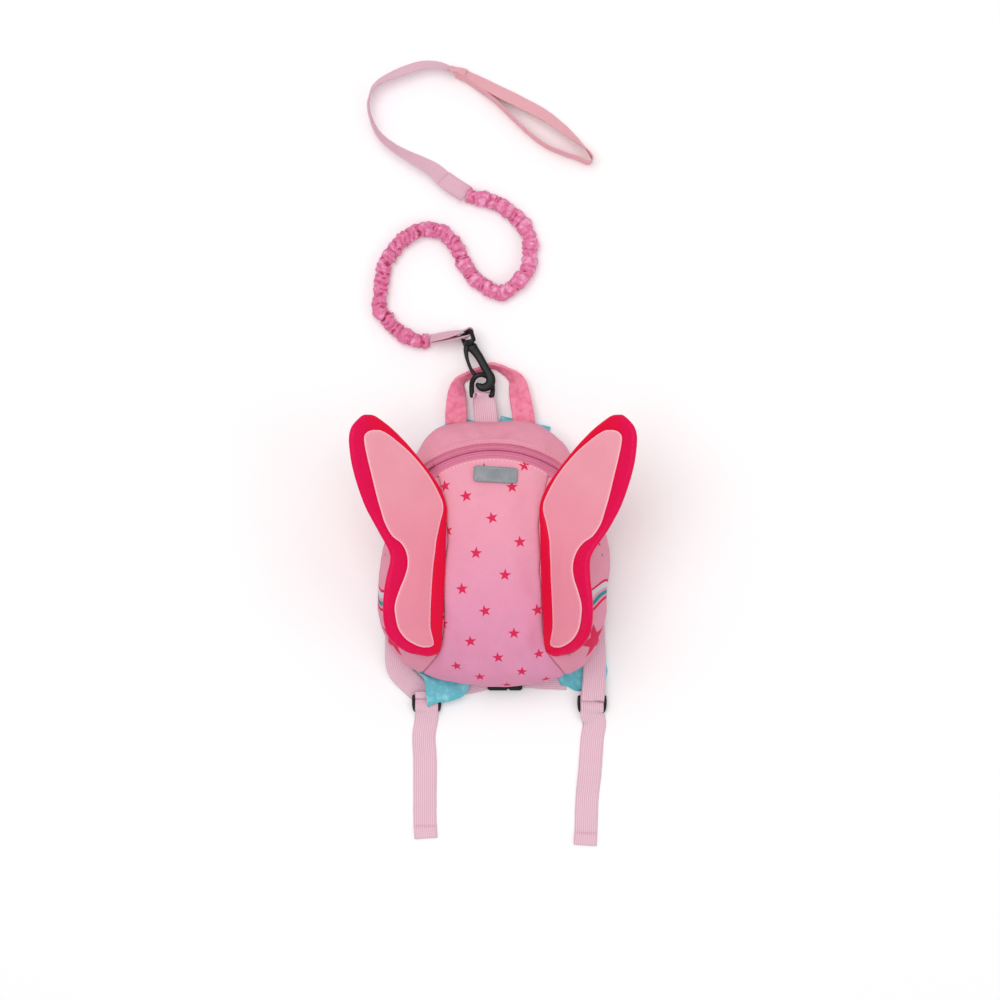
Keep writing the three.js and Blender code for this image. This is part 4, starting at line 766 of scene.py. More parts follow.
def make_lead():
    elastic, elastic_line = make_elastic()
    stations = stations_along(lead_rows(LEAD_ROUTE))
    webbing = finish_piece("lead_webbing", band(stations, WEB, WEB_THICK, 0.3, 2.0), LEAD_CLOTH,
                           ["leash_webbing"])
    loop = stations_along(lead_rows(LOOP_ROUTE))
    hand = finish_piece("lead_hand_loop", band(loop, WEB, WEB_THICK, 0.3, 5.0), LOOP_CLOTH,
                        ["hand_loop"])
    join = lead_join(stations)
    fold = loop_join(stations, loop)
    in_frame(elastic_line[::3] + [elastic_line[-1]])
    in_frame([s[0] for s in stations[::2]] + [stations[-1][0]])


def lifted(stations, start, end, lift, inset=0.0):
    """Part of a band's stations, between two runs in mm, moved out from its face."""
    run, out = 0.0, []
    for k, (at, side, normal, wide, deep) in enumerate(stations):
        if k:
            run += (at - stations[k - 1][0]).length
        if start <= run <= end:
            out.append((at + normal * lift, side, normal, wide * (1 - inset), deep))
    return out


def lead_join(stations):
    """Doubled end of the webbing, sewn round the elastic's end."""
    patch = lifted(stations, 0.5, 24, WEB_THICK * 0.98)
    at, *rest = patch[0]
    patch.insert(0, (at + (at - patch[1][0]).normalized() * 2.2, *rest))
    bm = band(patch, WEB * 0.97, WEB_THICK, 0.2, 11.0)
    fold = finish_piece("lead_webbing_fold", bm, LEAD_CLOTH)
    for name, across in (("upper", -0.8), ("middle", 0.0), ("lower", 0.8)):
        line = [(at + side * across * WEB / 2 + normal * 0.72, normal) for at, side, normal, *_ in patch]
        stitches("lead_fold_stitches_" + name, line, 2.6, 1.9, 0.34, PINK_THREAD)
    return fold


def loop_join(stations, loop):
    """Sewn overlap where the hand loop closes on the lead."""
    patch = lifted(stations, 206, 214, -WEB_THICK * 0.98) + lifted(loop, 1, 12, -WEB_THICK * 0.98)
    bm = band(patch, WEB * 0.96, WEB_THICK, 0.2, 13.0)
    return finish_piece("lead_loop_overlap", bm, LOOP_CLOTH)


def make_hook_webbing():
    x, y = ELASTIC_ROUTE[0]
    end = from_eye(x, y, WEB / 2 * bearing(68)[1] + WEB_THICK)
    root = end.lerp(eye_bar, 2 * GAP / (eye_bar - end).length)
    heading = (eye_bar - root).normalized()
    level = UP.cross(heading).normalized()
    root_side = level * -bearing(68)[0] + UP * bearing(68)[1]
    stations = hairpin(root, root_side, eye_bar, eye_across, WEB_THICK, math.hypot(EYE_BAR, EYE_THICK) / 2)
    bm = band(stations, WEB, WEB_THICK, 0.1, 17.0)
    finish_piece("lead_hook_webbing", bm, LEAD_CLOTH, ["hook_webbing"])


make_lead()
make_hook_webbing()


# Bag shell

EDGE_TABLE = [spline_at([[e] for e in SHELL_EDGE], i / 30, True)[0] for i in range(720)]


def edge_share(angle):
    place = (angle / TURN % 1) * 720
    k = int(place)
    return lerp(EDGE_TABLE[k % 720], EDGE_TABLE[(k + 1) % 720], place - k)


def dent(x, y):
    u, v = x / HALF_WIDTH, y / HALF_HEIGHT
    return sum(depth * math.exp(-((u - a) ** 2 + (v - b) ** 2) / r ** 2) for a, b, r, depth in DENTS)


def shell_height(x, y):
    u, v = x / HALF_WIDTH, y / HALF_HEIGHT
    reach = min(math.hypot(u, v) / edge_share(math.atan2(v, u)), 0.995)
    rise = (1 - reach ** CROWN) ** (1 / CROWN)
    return RIM_Z + (RISE - dent(x, y)) * rise


def shell_point(a, b):
    """Place and outward direction on the shell, from its unfolded plane: 0 at the crown, a quarter turn at the rim."""
    angle, fall = math.atan2(b, a), min(math.hypot(a, b), math.pi / 2)
    reach, rise = math.sin(fall) ** (2 / CROWN), max(math.cos(fall), 0.0) ** (2 / CROWN)
    edge = edge_share(angle)
    share = edge * reach * (1 - TUCK * (1 - rise) ** 3)
    x, y = HALF_WIDTH * share * math.cos(angle), HALF_HEIGHT * share * math.sin(angle)
    z = RIM_Z + (RISE - dent(x, y)) * rise
    steep, flat = reach ** (CROWN - 1), rise ** (CROWN - 1)
    out = Vector((
        steep * math.cos(angle) / (edge * HALF_WIDTH), steep * math.sin(angle) / (edge * HALF_HEIGHT), flat / RISE,
    ))
    return Vector((x, y, z)), out.normalized()


def unfold(x, y):
    u, v = x / HALF_WIDTH, y / HALF_HEIGHT
    angle = math.atan2(v, u)
    reach = min(math.hypot(u, v) / edge_share(angle), 0.9995)
    fall = math.asin(reach ** (CROWN / 2))
    return fall * math.cos(angle), fall * math.sin(angle)


RAYS, FALLS = 72, 48


def meridians():
    """Length of cloth from the crown outwards, by direction and fall."""
    table = []
    for k in range(RAYS):
        co, si = math.cos(TURN * k / RAYS), math.sin(TURN * k / RAYS)
        row, last = [0.0], shell_point(0, 0)[0]
        for m in range(1, FALLS + 1):
            here = shell_point(co * math.pi / 2 * m / FALLS, si * math.pi / 2 * m / FALLS)[0]
            row.append(row[-1] + (here - last).length)
            last = here
        table.append(row)
    return table


MERIDIANS = meridians()


def cloth_chart(a, b):
    """Place on the flat cloth of a place on the unfolded plane, in mm."""
    angle, fall = math.atan2(b, a), math.hypot(a, b)
    ray, ring = (angle / TURN % 1) * RAYS, min(fall / (math.pi / 2), 1) * FALLS
    k, m = int(ray), min(int(ring), FALLS - 1)
    near = lerp(MERIDIANS[k % RAYS][m], MERIDIANS[k % RAYS][m + 1], ring - m)
    far = lerp(MERIDIANS[(k + 1) % RAYS][m], MERIDIANS[(k + 1) % RAYS][m + 1], ring - m)
    length = lerp(near, far, ray - k)
    x, y = HALF_WIDTH * math.cos(angle), HALF_HEIGHT * math.sin(angle)
    return length * x / math.hypot(x, y), length * y / math.hypot(x, y)


ZIP_CENTRE, ZIP_INNER, ZIP_OUTER, ZIP_END = -11.0, 91.5, 104.0, 41.0


def on_arc(degrees, radius):
    return radius * math.sin(math.radians(degrees)), ZIP_CENTRE + radius * math.cos(math.radians(degrees))


def rim_at(degrees):
    return math.pi / 2 * math.cos(math.radians(degrees)), math.pi / 2 * math.sin(math.radians(degrees))


FRONT_SEAM = [(46.8, 67.6), (43, 48.3), (39.8, 0), (41.3, -46), (44.5, -78), (50, -89.0), (59.5, -101.2)]
SEAM_FOOT, END_RIM, SLOT_CORNER = -54.5, 39.5, 40.8


def line_of(points, step=0.02):
    """Even points on the unfolded plane through plan places, which may end at the rim."""
    return even_rows(smooth_rows([list(p) for p in points], 8), step, 2)


def picker(line):
    """Place on a line by share of its length."""
    last = len(line) - 1

    def at(share):
        place = min(max(share, 0), 1) * last
        k = min(int(place), last - 1)
        return tuple(lerp(a, b, place - k) for a, b in zip(line[k], line[k + 1]))

    return at


def mirrored(points, hand):
    return [(hand * x, y) for x, y in points]


def front_seam(hand):
    """The seam between front and side, from the rim up to the zip."""
    up = [unfold(x, y) for x, y in mirrored(FRONT_SEAM, hand)][::-1]
    foot = rim_at(SEAM_FOOT)
    return line_of([(hand * foot[0], foot[1])] + up)


def end_seam(hand):
    """The seam from the zip's end out to the rim."""
    x0, y0 = on_arc(SLOT_CORNER, ZIP_OUTER)
    points = [unfold(hand * lerp(x0, 76.5, k / 4), lerp(y0, 75.6, k / 4)) for k in range(4)]
    foot = rim_at(END_RIM)
    return line_of(points + [(hand * foot[0], foot[1])])


def arc_line(start, end, radius):
    return line_of([unfold(*on_arc(lerp(start, end, k / 16), radius)) for k in range(17)])


def rim_line(start, end):
    return [rim_at(lerp(start, end, k / 60)) for k in range(61)]


def patch(bottom, top, left, right):
    """Place on the unfolded plane inside four sides, by shares across and up."""
    b, u, l, r = (picker(side) for side in (bottom, top, left, right))
    corners = b(0), b(1), u(0), u(1)

    def at(s, t):
        out = []
        for k in range(2):
            sides = (1 - t) * b(s)[k] + t * u(s)[k] + (1 - s) * l(t)[k] + s * r(t)[k]
            out.append(sides - ((1 - s) * (1 - t) * corners[0][k] + s * (1 - t) * corners[1][k]
                                + (1 - s) * t * corners[2][k] + s * t * corners[3][k]))
        return out

    return at


def crowded(share, pull=0.82):
    """Share moved towards its ends, so that edges get the finer mesh."""
    return share - pull * math.sin(TURN * share) / TURN


def soft_relief(x, y, z):
    """Slight unevenness of filled cloth, in mm."""
    broad = wander(x / 34, y / 34, z / 34)
    fine = wander(x / 13 + 5, y / 13, z / 13)
    return 1.1 * broad + 0.5 * fine


def crease_depth(x, y, creases):
    """Depth of soft folds given as two ends, width and depth in mm, fading at their ends."""
    total = 0.0
    for x0, y0, x1, y1, width, depth in creases:
        dx, dy = x1 - x0, y1 - y0
        length = math.hypot(dx, dy)
        share = ((x - x0) * dx + (y - y0) * dy) / length ** 2
        off = ((x - x0) * dy - (y - y0) * dx) / length + width * 0.5 * wander(share * 2.2, x0)
        fade = ease(share, -0.15, 0.3) * (1 - ease(share, 0.7, 1.15))
        total += depth * fade * (hump(off, width) - 0.45 * hump(abs(off) - width * 1.9, width))
    return total


def shell_panel(name, at, columns, rows, profile, creases, material, nodes, stars=(), wall=1.2):
    """A panel of the shell: profile gives its height from its distances to the left, right, lower and upper edge."""
    grid = []
    for j in range(rows + 1):
        row = []
        for i in range(columns + 1):
            a, b = at(crowded(i / columns), crowded(j / rows))
            place, out = shell_point(a, b)
            row.append([place, out, cloth_chart(a, b)])
        grid.append(row)
    across = [[0.0] for _ in grid]
    for j, row in enumerate(grid):
        for i in range(columns):
            across[j].append(across[j][-1] + (row[i + 1][0] - row[i][0]).length)
    along = [[0.0] * (columns + 1)]
    for j in range(rows):
        along.append([along[j][i] + (grid[j + 1][i][0] - grid[j][i][0]).length for i in range(columns + 1)])

    def distances(i, j):
        return across[j][i], across[j][-1] - across[j][i], along[j][i], along[-1][i] - along[j][i]

    def corner(i, j):
        place, out, chart = grid[j][i]
        x, y, z = place
        gaps = distances(i, j)
        height = profile(*gaps, x, y, z) - crease_depth(x, y, creases)
        calm = ease(min(gaps), 0.0, 9.0)
        height += soft_relief(x, y, z) * (0.25 + 0.75 * calm)
        return place + out * height, chart, (min(gaps), gaps[0]), (9, 9), (0, 0)

    bm = weld(cloth_grid(columns, rows, corner))
    if stars:
        print_stars(bm, stars)
    piece = finish_piece(name, bm, material, nodes)
    wall_of = piece.modifiers.new("wall", "SOLIDIFY")
    wall_of.thickness, wall_of.offset, wall_of.use_even_offset = wall / 1000, -1.0, False
    return piece, grid, (across, along), profile


def sewn(distance, run, seed, depth=2.0, pucker=0.3):
    """Height beside a pulled seam: a narrow valley with small gathers along it."""
    gather = 0.6 * math.sin(run * TURN / 5.4 + 3 * wander(run / 9, seed)) + wander(run / 3.1, seed)
    valley = -depth * math.exp(-distance / 1.1) - 0.7 * math.exp(-distance / 6)
    return valley + pucker * gather * math.exp(-distance / 5)


def folded_edge(distance, lift=0.9, row=2.4):
    """Height of a turned edge: rounded end, doubled cloth and a sunk row of stitches."""
    roll = -1.5 * (1 - min(distance / 1.1, 1)) ** 2
    return roll + lift * (1 - ease(distance, 3.0, 7.5)) - 0.6 * hump(distance - row, 0.7)


def front_profile(left, right, lower, upper, x, y, z):
    height = sewn(left, y, 1.0) + sewn(right, y, 2.0) + folded_edge(upper)
    return height - 0.5 * math.exp(-lower / 3) + 0.25 * wander(x / 5, 7) * math.exp(-lower / 9)


def side_profile(left, right, lower, upper, x, y, z):
    height = sewn(left, y, 3.0) - 0.5 * math.exp(-right / 3) + sewn(upper, x, 4.0, 1.6)
    return height + 0.9 * wander(y / 9, z / 26, 5.0) * math.exp(-right / 26)


def top_profile(left, right, lower, upper, x, y, z):
    height = sewn(left, y, 5.0, 1.6) + sewn(right, y, 6.0, 1.6) + folded_edge(lower, 1.2)
    return height - 0.5 * math.exp(-upper / 3) + 0.5 * wander(x / 7, 9.0) * math.exp(-upper / 12)


def star_places(rows):
    out = []
    for x, y, radius, turn, ink in rows:
        out.append((*cloth_chart(*unfold(x, y)), radius, turn, ink))
    return out


FRONT_STARS = [
    (15.6, 56.0), (-22.6, 48.6), (25.7, 73.6), (-7.7, 71.6), (-40.2, 56.9), (-1.0, 30.3), (-38.4, 19.5),
    (22.2, 10.4), (-14.2, 1.3), (9.8, -16.9), (-25.9, -28.6), (36.8, -46.2), (-6.8, -46.9), (-42.2, -58.1),
    (17.3, -65.9), (-19.0, -72.7), (4.0, -86.3), (38.8, -84.7), (-31.4, -95.5), (24.0, -99.1),
    (-11.3, -103.7), (45.1, -108.0), (11.7, -112.4),
]
FRONT_STARS = [(x, y, 5.4, 24 * wander(x * 0.31, y * 0.27) + 6, 0) for x, y in FRONT_STARS]
SIDE_STARS = [
    (84, 27, 3.2, 10, 1), (90, 8, 2.4, -14, 0), (76, 12, 2.6, 20, 0), (70, 34, 3.0, 5, 0), (93, -1, 2.2, 30, 1),
    (66, 55, 3.4, -8, 1), (80, 48, 2.6, 12, 0), (60, 20, 3.0, 18, 1), (86, -74, 19.0, 14, 0), (64, -84, 4.2, -10, 1),
    (58, -12, 3.2, 24, 0), (68, -40, 3.4, -20, 0),
]
FRONT_CREASES = [
    (-30, -70, -34, -108, 5, 1.7), (34, -62, 44, -104, 6, 1.8), (-8, -84, 6, -112, 6, 1.4),
    (-12, 60, -20, 16, 9, 1.1), (26, 62, 31, 20, 8, 1.0), (30, -2, 37, -44, 7, 1.2), (12, -56, 25, -98, 6, 1.3),
    (-34, 8, -28, -40, 8, 1.0), (-22, -30, -6, -66, 8, 0.8),
]
SIDE_CREASES = [
    (44, 44, 86, 30, 5, 1.4), (42, 8, 88, 14, 5, 1.3), (44, -24, 92, -34, 5, 1.6), (46, -52, 90, -70, 5, 1.4),
    (50, -78, 84, -92, 4, 1.1), (60, 60, 78, 40, 5, 1.2),
]
TOP_CREASES = [
    (-26, 108, -19, 97, 4, 1.2), (-8, 107, -6, 99, 4.5, 1.1), (14, 108, 7, 98, 3.6, 1.5), (28, 106, 36, 96, 5, 1.0),
    (-46, 102, -40, 88, 5, 0.9), (50, 99, 48, 84, 5, 0.9), (-2, 105, 20, 103, 3.5, 0.7),
]


def make_shell():
    left_rim, right_rim = 180 - SEAM_FOOT - 360, SEAM_FOOT
    join = math.degrees(math.asin(FRONT_SEAM[0][0] / ZIP_INNER))
    front = patch(rim_line(left_rim, right_rim), arc_line(-join, join, ZIP_INNER), front_seam(-1), front_seam(1))
    made = {"front": shell_panel("bag_front", front, 120, 190, front_profile, FRONT_CREASES, FRONT_CLOTH,
                                 ["front_panel"], star_places(FRONT_STARS))}
    made["top"] = shell_panel(
        "bag_top", patch(arc_line(-SLOT_CORNER, SLOT_CORNER, ZIP_OUTER), rim_line(180 - END_RIM, END_RIM),
                         end_seam(-1), end_seam(1)),
        190, 90, top_profile, TOP_CREASES, TOP_CLOTH, ["top_panel"])
    for side, hand in (("left", -1), ("right", 1)):
        inner = [unfold(hand * x, y) for x, y in (on_arc(lerp(join, ZIP_END, k / 6), ZIP_INNER) for k in range(7))]
        outer = [unfold(hand * x, y) for x, y in (on_arc(ZIP_END, lerp(ZIP_INNER, ZIP_OUTER, k / 3)) for k in (1, 2))]
        above = even_rows([list(p) for p in inner + outer] + end_seam(hand), 0.02, 2)
        rim = rim_line(SEAM_FOOT, END_RIM) if hand > 0 else rim_line(180 - SEAM_FOOT, 180 - END_RIM)
        below = [rim[0], rim[0]]
        at = patch(below, above, front_seam(hand), rim)
        stars = [(hand * x, y, r, hand * turn, ink) for x, y, r, turn, ink in SIDE_STARS]
        creases = [(hand * x0, y0, hand * x1, y1, w, d) for x0, y0, x1, y1, w, d in SIDE_CREASES]
        made[side] = shell_panel("bag_side_" + side, at, 110, 200, side_profile, creases, SIDE_CLOTH,
                                 ["side_panel_" + side], star_places(stars))
    return made


shell_parts = make_shell()


def panel_line(part, upper, distance):
    """Places and outward directions along a panel, at a distance from its lower or upper edge."""
    _, grid, (across, along), profile = part
    line = []
    last = len(grid) - 1
    for i in range(2, len(grid[0]) - 2):
        total = along[-1][i]
        want = total - distance if upper else distance
        j = next(k for k in range(last) if along[k + 1][i] >= want)
        share = (want - along[j][i]) / max(along[j + 1][i] - along[j][i], 1e-6)
        place = grid[j][i][0].lerp(grid[j + 1][i][0], share)
        out = grid[j][i][1]
        gaps = across[j][i], across[j][-1] - across[j][i], want, total - want
        height = profile(*gaps, *place) + soft_relief(*place) * (0.25 + 0.75 * ease(min(gaps), 0.0, 9.0))
        line.append((place + out * (height + 0.02), out))
    return line


for name, upper, edge, colour, slot in (
    ("front", True, 2.4, PALE_THREAD, "print_front"),
    ("top", False, 2.2, PINK_THREAD, "top_cloth"),
):
    stitches("zip_stitches_" + name, panel_line(shell_parts[name], upper, edge), 3.5, 2.5, 0.42, colour)


def make_back():
    """Soft back panel, closed, slightly padded."""
    def corner(i, j):
        angle = TURN * i / 120
        level = j / 40
        share = 1 - abs(2 * level - 1)
        edge = shell_point(*rim_at(math.degrees(angle)))[0]
        inset = 1 - 0.012 - 0.98 * max(share - 0.12, 0) / 0.88
        bulge = math.sin(min(share / 0.14, 1) * math.pi / 2) ** 0.7
        puff = 0.25 * wander(edge.x * inset / 18, edge.y * inset / 18, 3.0)
        z = BACK_Z + BACK_THICK / 2 + (1 if level > 0.5 else -1) * (BACK_THICK / 2 - 0.15) * bulge
        z += puff * (1 if level > 0.5 else 0)
        x, y = edge.x * max(inset, 0.0), edge.y * max(inset, 0.0)
        return Vector((x, y, z)), (x, y), (20, 0), (9, 9), (0, 0)

    bm = weld(cloth_grid(120, 40, corner))
    finish_piece("bag_back", fill_ends(bm), BACK_CLOTH, ["back_panel"])


make_back()


# Zip

def zip_strip(name, inner, outer, drop, thick, material, nodes, ridge=0.0, ridge_at=0.0):
    """Curved tape between two radii, sunk below the shell, with a ridge over the coil."""
    columns, rows = 24, 260

    def corner(i, j):
        turn = TURN * i / columns
        across = math.cos(turn)
        face = math.sin(turn)
        degrees = (ZIP_END + 0.6) * (2 * j / rows - 1)
        radius = lerp(inner, outer, (across + 1) / 2)
        x, y = on_arc(degrees, radius)
        height = shell_height(x, y) - drop - thick / 2 + face * thick / 2
        height += ridge * hump(radius - ridge_at, 1.3) + 0.12 * wander(degrees * 0.8, radius * 0.1)
        run = math.radians(degrees) * (inner + outer) / 2
        return Vector((x, y, height)), (radius - inner, run), (0, run), (9, 9), (0, 0)

    finish_piece(name, fill_ends(weld(cloth_grid(columns, rows, corner))), material, nodes)


def make_zip():
    middle = (ZIP_INNER + ZIP_OUTER) / 2
    zip_strip("zip_tape_front", ZIP_INNER - 2.4, middle - 0.12, 1.0, 1.0, ZIP_TAPE, ["zip_tape_lower"],
              0.7, middle - 1.6)
    zip_strip("zip_tape_top", middle + 0.12, ZIP_OUTER + 0.6, 1.0, 1.0, ZIP_TAPE, ["zip_tape_upper"],
              0.7, middle + 1.6)
    bm = bmesh.new()
    for side in (-1, 1):
        for k in range(int(2 * 40.5 / 0.78)):
            degrees = -40.4 + k * 0.78 + (0.39 if side > 0 else 0)
            x, y = on_arc(degrees, middle + side * 0.55)
            z = shell_height(x, y) - 1.2
            basis = Matrix.Translation((x, y, z)) @ Matrix.Rotation(-math.radians(degrees), 4, "Z")
            basis = basis @ Matrix.Diagonal((0.42, 1.0, 0.55, 1))
            bmesh.ops.create_uvsphere(bm, u_segments=8, v_segments=6, radius=1.0, matrix=basis)
    finish_piece("zip_teeth", bm, ZIP_COIL, ["zip_coil"])
    for side, off, name in ((-1, 1.9, "front"), (1, 1.9, "top"), (-1, 4.2, "front_outer"), (1, 4.2, "top_outer")):
        line = []
        for k in range(200):
            degrees = lerp(-40, 40, k / 199)
            x, y = on_arc(degrees, middle + side * off)
            ridge = 0.7 * hump(off - 1.6, 1.3)
            line.append((Vector((x, y, shell_height(x, y) - 0.95 + ridge)), UP))
        stitches("zip_coil_stitches_" + name, line, 1.7, 1.1, 0.26, ZIP_COIL)


make_zip()
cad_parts["zip_slider"].data.materials.clear()
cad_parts["zip_slider"].data.materials.append(ZIP_METAL)


# Label

def make_label():
    """Thin moulded patch with rounded corners, bent over the front."""
    wide, tall, thick, turn = 37.0, 13.4, 1.3, math.radians(-3.5)
    columns, rings = 128, 26

    def corner(i, j):
        angle = TURN * i / columns
        co, si = math.cos(angle), math.sin(angle)
        power = (abs(co) ** 9 + abs(si) ** 9) ** (-1 / 9)
        ring = j / rings
        top = ring >= 0.3
        share = (1 - ring) / 0.7 if top else ring / 0.3
        reach = 1.0 if ring in (0.3,) else share ** 0.8
        edge = 1.9
        u = co * power * (wide / 2 - edge + edge * 1.0) * reach
        v = si * power * (tall / 2) * reach
        from_edge = min(wide / 2 - abs(u), tall / 2 - abs(v))
        x = 2 + u * math.cos(turn) - v * math.sin(turn)
        y = 66.5 + u * math.sin(turn) + v * math.cos(turn)
        roll = 0.45 * (1 - min(from_edge / 0.8, 1)) ** 2
        rim = 0.28 * (1 - ease(from_edge, 1.0, 1.4)) + 0.12 * ease(from_edge, 2.2, 2.8)
        z = shell_height(x, y) + (GAP + 0.5 + thick + rim - roll if top else GAP + 0.5)
        return Vector((x, y, z)), (u, v), (from_edge, angle * 16), (9, 9), (0, 0)

    bm = weld(cloth_grid(columns, rings, corner))
    finish_piece("label_blank", bm, LABEL, ["label_patch"])


make_label()


# Wings

SPAN, LENGTH, FOOT_Y, CURL = 92.0, 198.0, -83.0, 5.0
SEAM_ROWS = [
    (0.44, 0.74), (0.4, 0.42), (0.41, 0), (0.43, -0.4), (0.45, -0.7), (0.5, -0.78), (0.62, -0.88), (0.95, -1.2),
]
WING_ROWS = [
    (-0.009, 0.11, 0.15), (0, 0.04, 0.24), (0.012, 0.015, 0.346), (0.044, 0, 0.468), (0.086, 0, 0.563),
    (0.146, 0, 0.613), (0.212, 0, 0.628), (0.279, 0, 0.621), (0.338, 0, 0.6), (0.396, 0, 0.571),
    (0.433, 0, 0.584), (0.471, 0, 0.632), (0.537, 0, 0.73), (0.619, 0, 0.847), (0.699, 0.07, 0.926),
    (0.786, 0.22, 0.989), (0.86, 0.37, 1.018), (0.911, 0.49, 1.021), (0.951, 0.6, 0.989), (0.988, 0.73, 0.904),
    (0.998, 0.79, 0.86),
]
INSET_ROWS = [
    (0.031, 0.14, 0.2), (0.041, 0.1, 0.276), (0.069, 0.11, 0.389), (0.114, 0.14, 0.476), (0.174, 0.148, 0.518),
    (0.219, 0.149, 0.524), (0.277, 0.147, 0.484), (0.329, 0.144, 0.435), (0.38, 0.138, 0.408),
    (0.432, 0.125, 0.428), (0.47, 0.117, 0.486), (0.5, 0.105, 0.58), (0.552, 0.08, 0.659), (0.61, 0.05, 0.71),
    (0.66, 0.08, 0.75), (0.751, 0.205, 0.807), (0.838, 0.385, 0.861), (0.901, 0.57, 0.885), (0.926, 0.665, 0.85),
    (0.935, 0.72, 0.79),
]


def seam_across(y):
    rows = [(x * HALF_WIDTH, up * HALF_HEIGHT) for x, up in SEAM_ROWS]
    for (x0, y0), (x1, y1) in zip(rows, rows[1:]):
        if y1 <= y:
            return x0 + (x1 - x0) * (y - y0) / (y1 - y0)
    return rows[-1][0]


def wing_base(hand, u, v, lobe):
    """Middle of the wing's pad and its upward direction, at shares of span and length."""
    y = FOOT_Y + v * LENGTH
    held = min(max(y, -0.69 * HALF_HEIGHT), 0.4 * HALF_HEIGHT)
    foot = seam_across(held)
    seat = shell_height(foot, held) + GAP + 0.8
    base = lerp(seat, max(seat, 84.0), 1 - math.exp(-u / 0.2))
    tilt = math.radians(lerp(lobe, 32.0, ease(v, 0.3, 0.55)))
    reach, lift = u * SPAN, CURL * u * u
    out = foot + 0.5 + reach * math.cos(tilt) - lift * math.sin(tilt)
    at = Vector((hand * out, y, base + reach * math.sin(tilt) + lift * math.cos(tilt)))
    return at, Vector((-hand * math.sin(tilt), 0, math.cos(tilt)))


def outline_of(rows):
    """Closed outline in mm on the wing's own plane, inner side up and outer side down."""
    fine = smooth_rows([list(row) for row in rows], 10)
    inner = [(row[1] * SPAN, row[0] * LENGTH) for row in fine]
    outer = [(row[2] * SPAN, row[0] * LENGTH) for row in reversed(fine)]
    return inner + outer


class Outline:
    """A closed outline with the distance to it, the run along it and how near its outer side is, from 0 to 1."""

    def __init__(self, points):
        self.points = points
        starts = np.array(points)
        self.starts, self.steps = starts, np.roll(starts, -1, axis=0) - starts
        self.lengths = np.hypot(*self.steps.T)
        self.keep = self.lengths > 1e-6
        self.runs = np.concatenate([[0], np.cumsum(self.lengths)[:-1]])
        self.found = {}

    def nearest(self, x, y):
        key = (round(x, 4), round(y, 4))
        if key not in self.found:
            away = np.array((x, y)) - self.starts
            square = np.maximum(self.lengths ** 2, 1e-12)
            share = np.clip((away * self.steps).sum(axis=1) / square, 0, 1)
            gaps = np.hypot(*(away - self.steps * share[:, None]).T)
            gaps[~self.keep] = 1e9
            k = int(gaps.argmin())
            half = len(self.points) // 2
            near = float(gaps[:half].min())
            outer = ease(near / max(near + float(gaps[half:].min()), 1e-6), 0.1, 0.9)
            self.found[key] = float(gaps[k]), float(self.runs[k] + share[k] * self.lengths[k]), outer
        return self.found[key]


def inside(outline, x, y):
    odd = False
    for (x0, y0), (x1, y1) in zip(outline, outline[1:] + outline[:1]):
        if (y0 > y) != (y1 > y) and x < x0 + (x1 - x0) * (y - y0) / (y1 - y0):
            odd = not odd
    return odd


WING_OUTLINE, INSET_OUTLINE = (Outline(outline_of(rows)) for rows in (WING_ROWS, INSET_ROWS))


def inset_base(gap):
    """Level of the pad under the inset, by distance from the inset's edge."""
    return lerp(2.5, 3.1, ease(gap, 0, 16))


def border_height(gap, run, outer, x, y):
    """Half thickness of the pad above its middle plane, by distance from its edge."""
    to_inset = INSET_OUTLINE.nearest(x, y)[0]
    gather = math.sin(run * TURN / 4.6 + 2.5 * wander(run / 11)) * 0.5 + wander(run / 2.3, 4.0)
    pull = lerp(0.12, 0.3, outer)
    rounded = (1 - (1 - min(gap / 3.6, 1)) ** 2) ** 0.5
    height = 0.25 + 3.0 * rounded * (1 + pull * 0.6 * gather * math.exp(-gap / 3.5))
    if inside(INSET_OUTLINE.points, x, y):
        return inset_base(to_inset)
    dip = math.exp(-to_inset / 1.3)
    return height - 1.1 * dip * rounded + 0.18 * gather * dip


def wing_grid(fine, hand, lobe, columns, face):
    """Closed pad from rows of height share, inner and outer edge; face gives its level above and below."""
    rows = len(fine) - 1
    half = columns // 2

    def corner(i, j):
        v, inner, outer = fine[j]
        turn = math.pi * 2 * i / columns
        share = (1 - math.cos(turn)) / 2
        share = lerp(share, 0.5 - 0.5 * math.copysign(abs(math.cos(turn)) ** 0.8, math.cos(turn)), 0.5)
        u = lerp(inner, outer, share)
        x, y = u * SPAN, v * LENGTH
        above = 0 < i < half
        level, maps = face(x, y, above, i in (0, half, columns) or j in (0, rows))
        at, normal = wing_base(hand, u, v, lobe)
        place = at + normal * level
        return (place, *maps, (9, 9), (0, 0))

    return weld(cloth_grid(columns, rows, corner), 0.02)


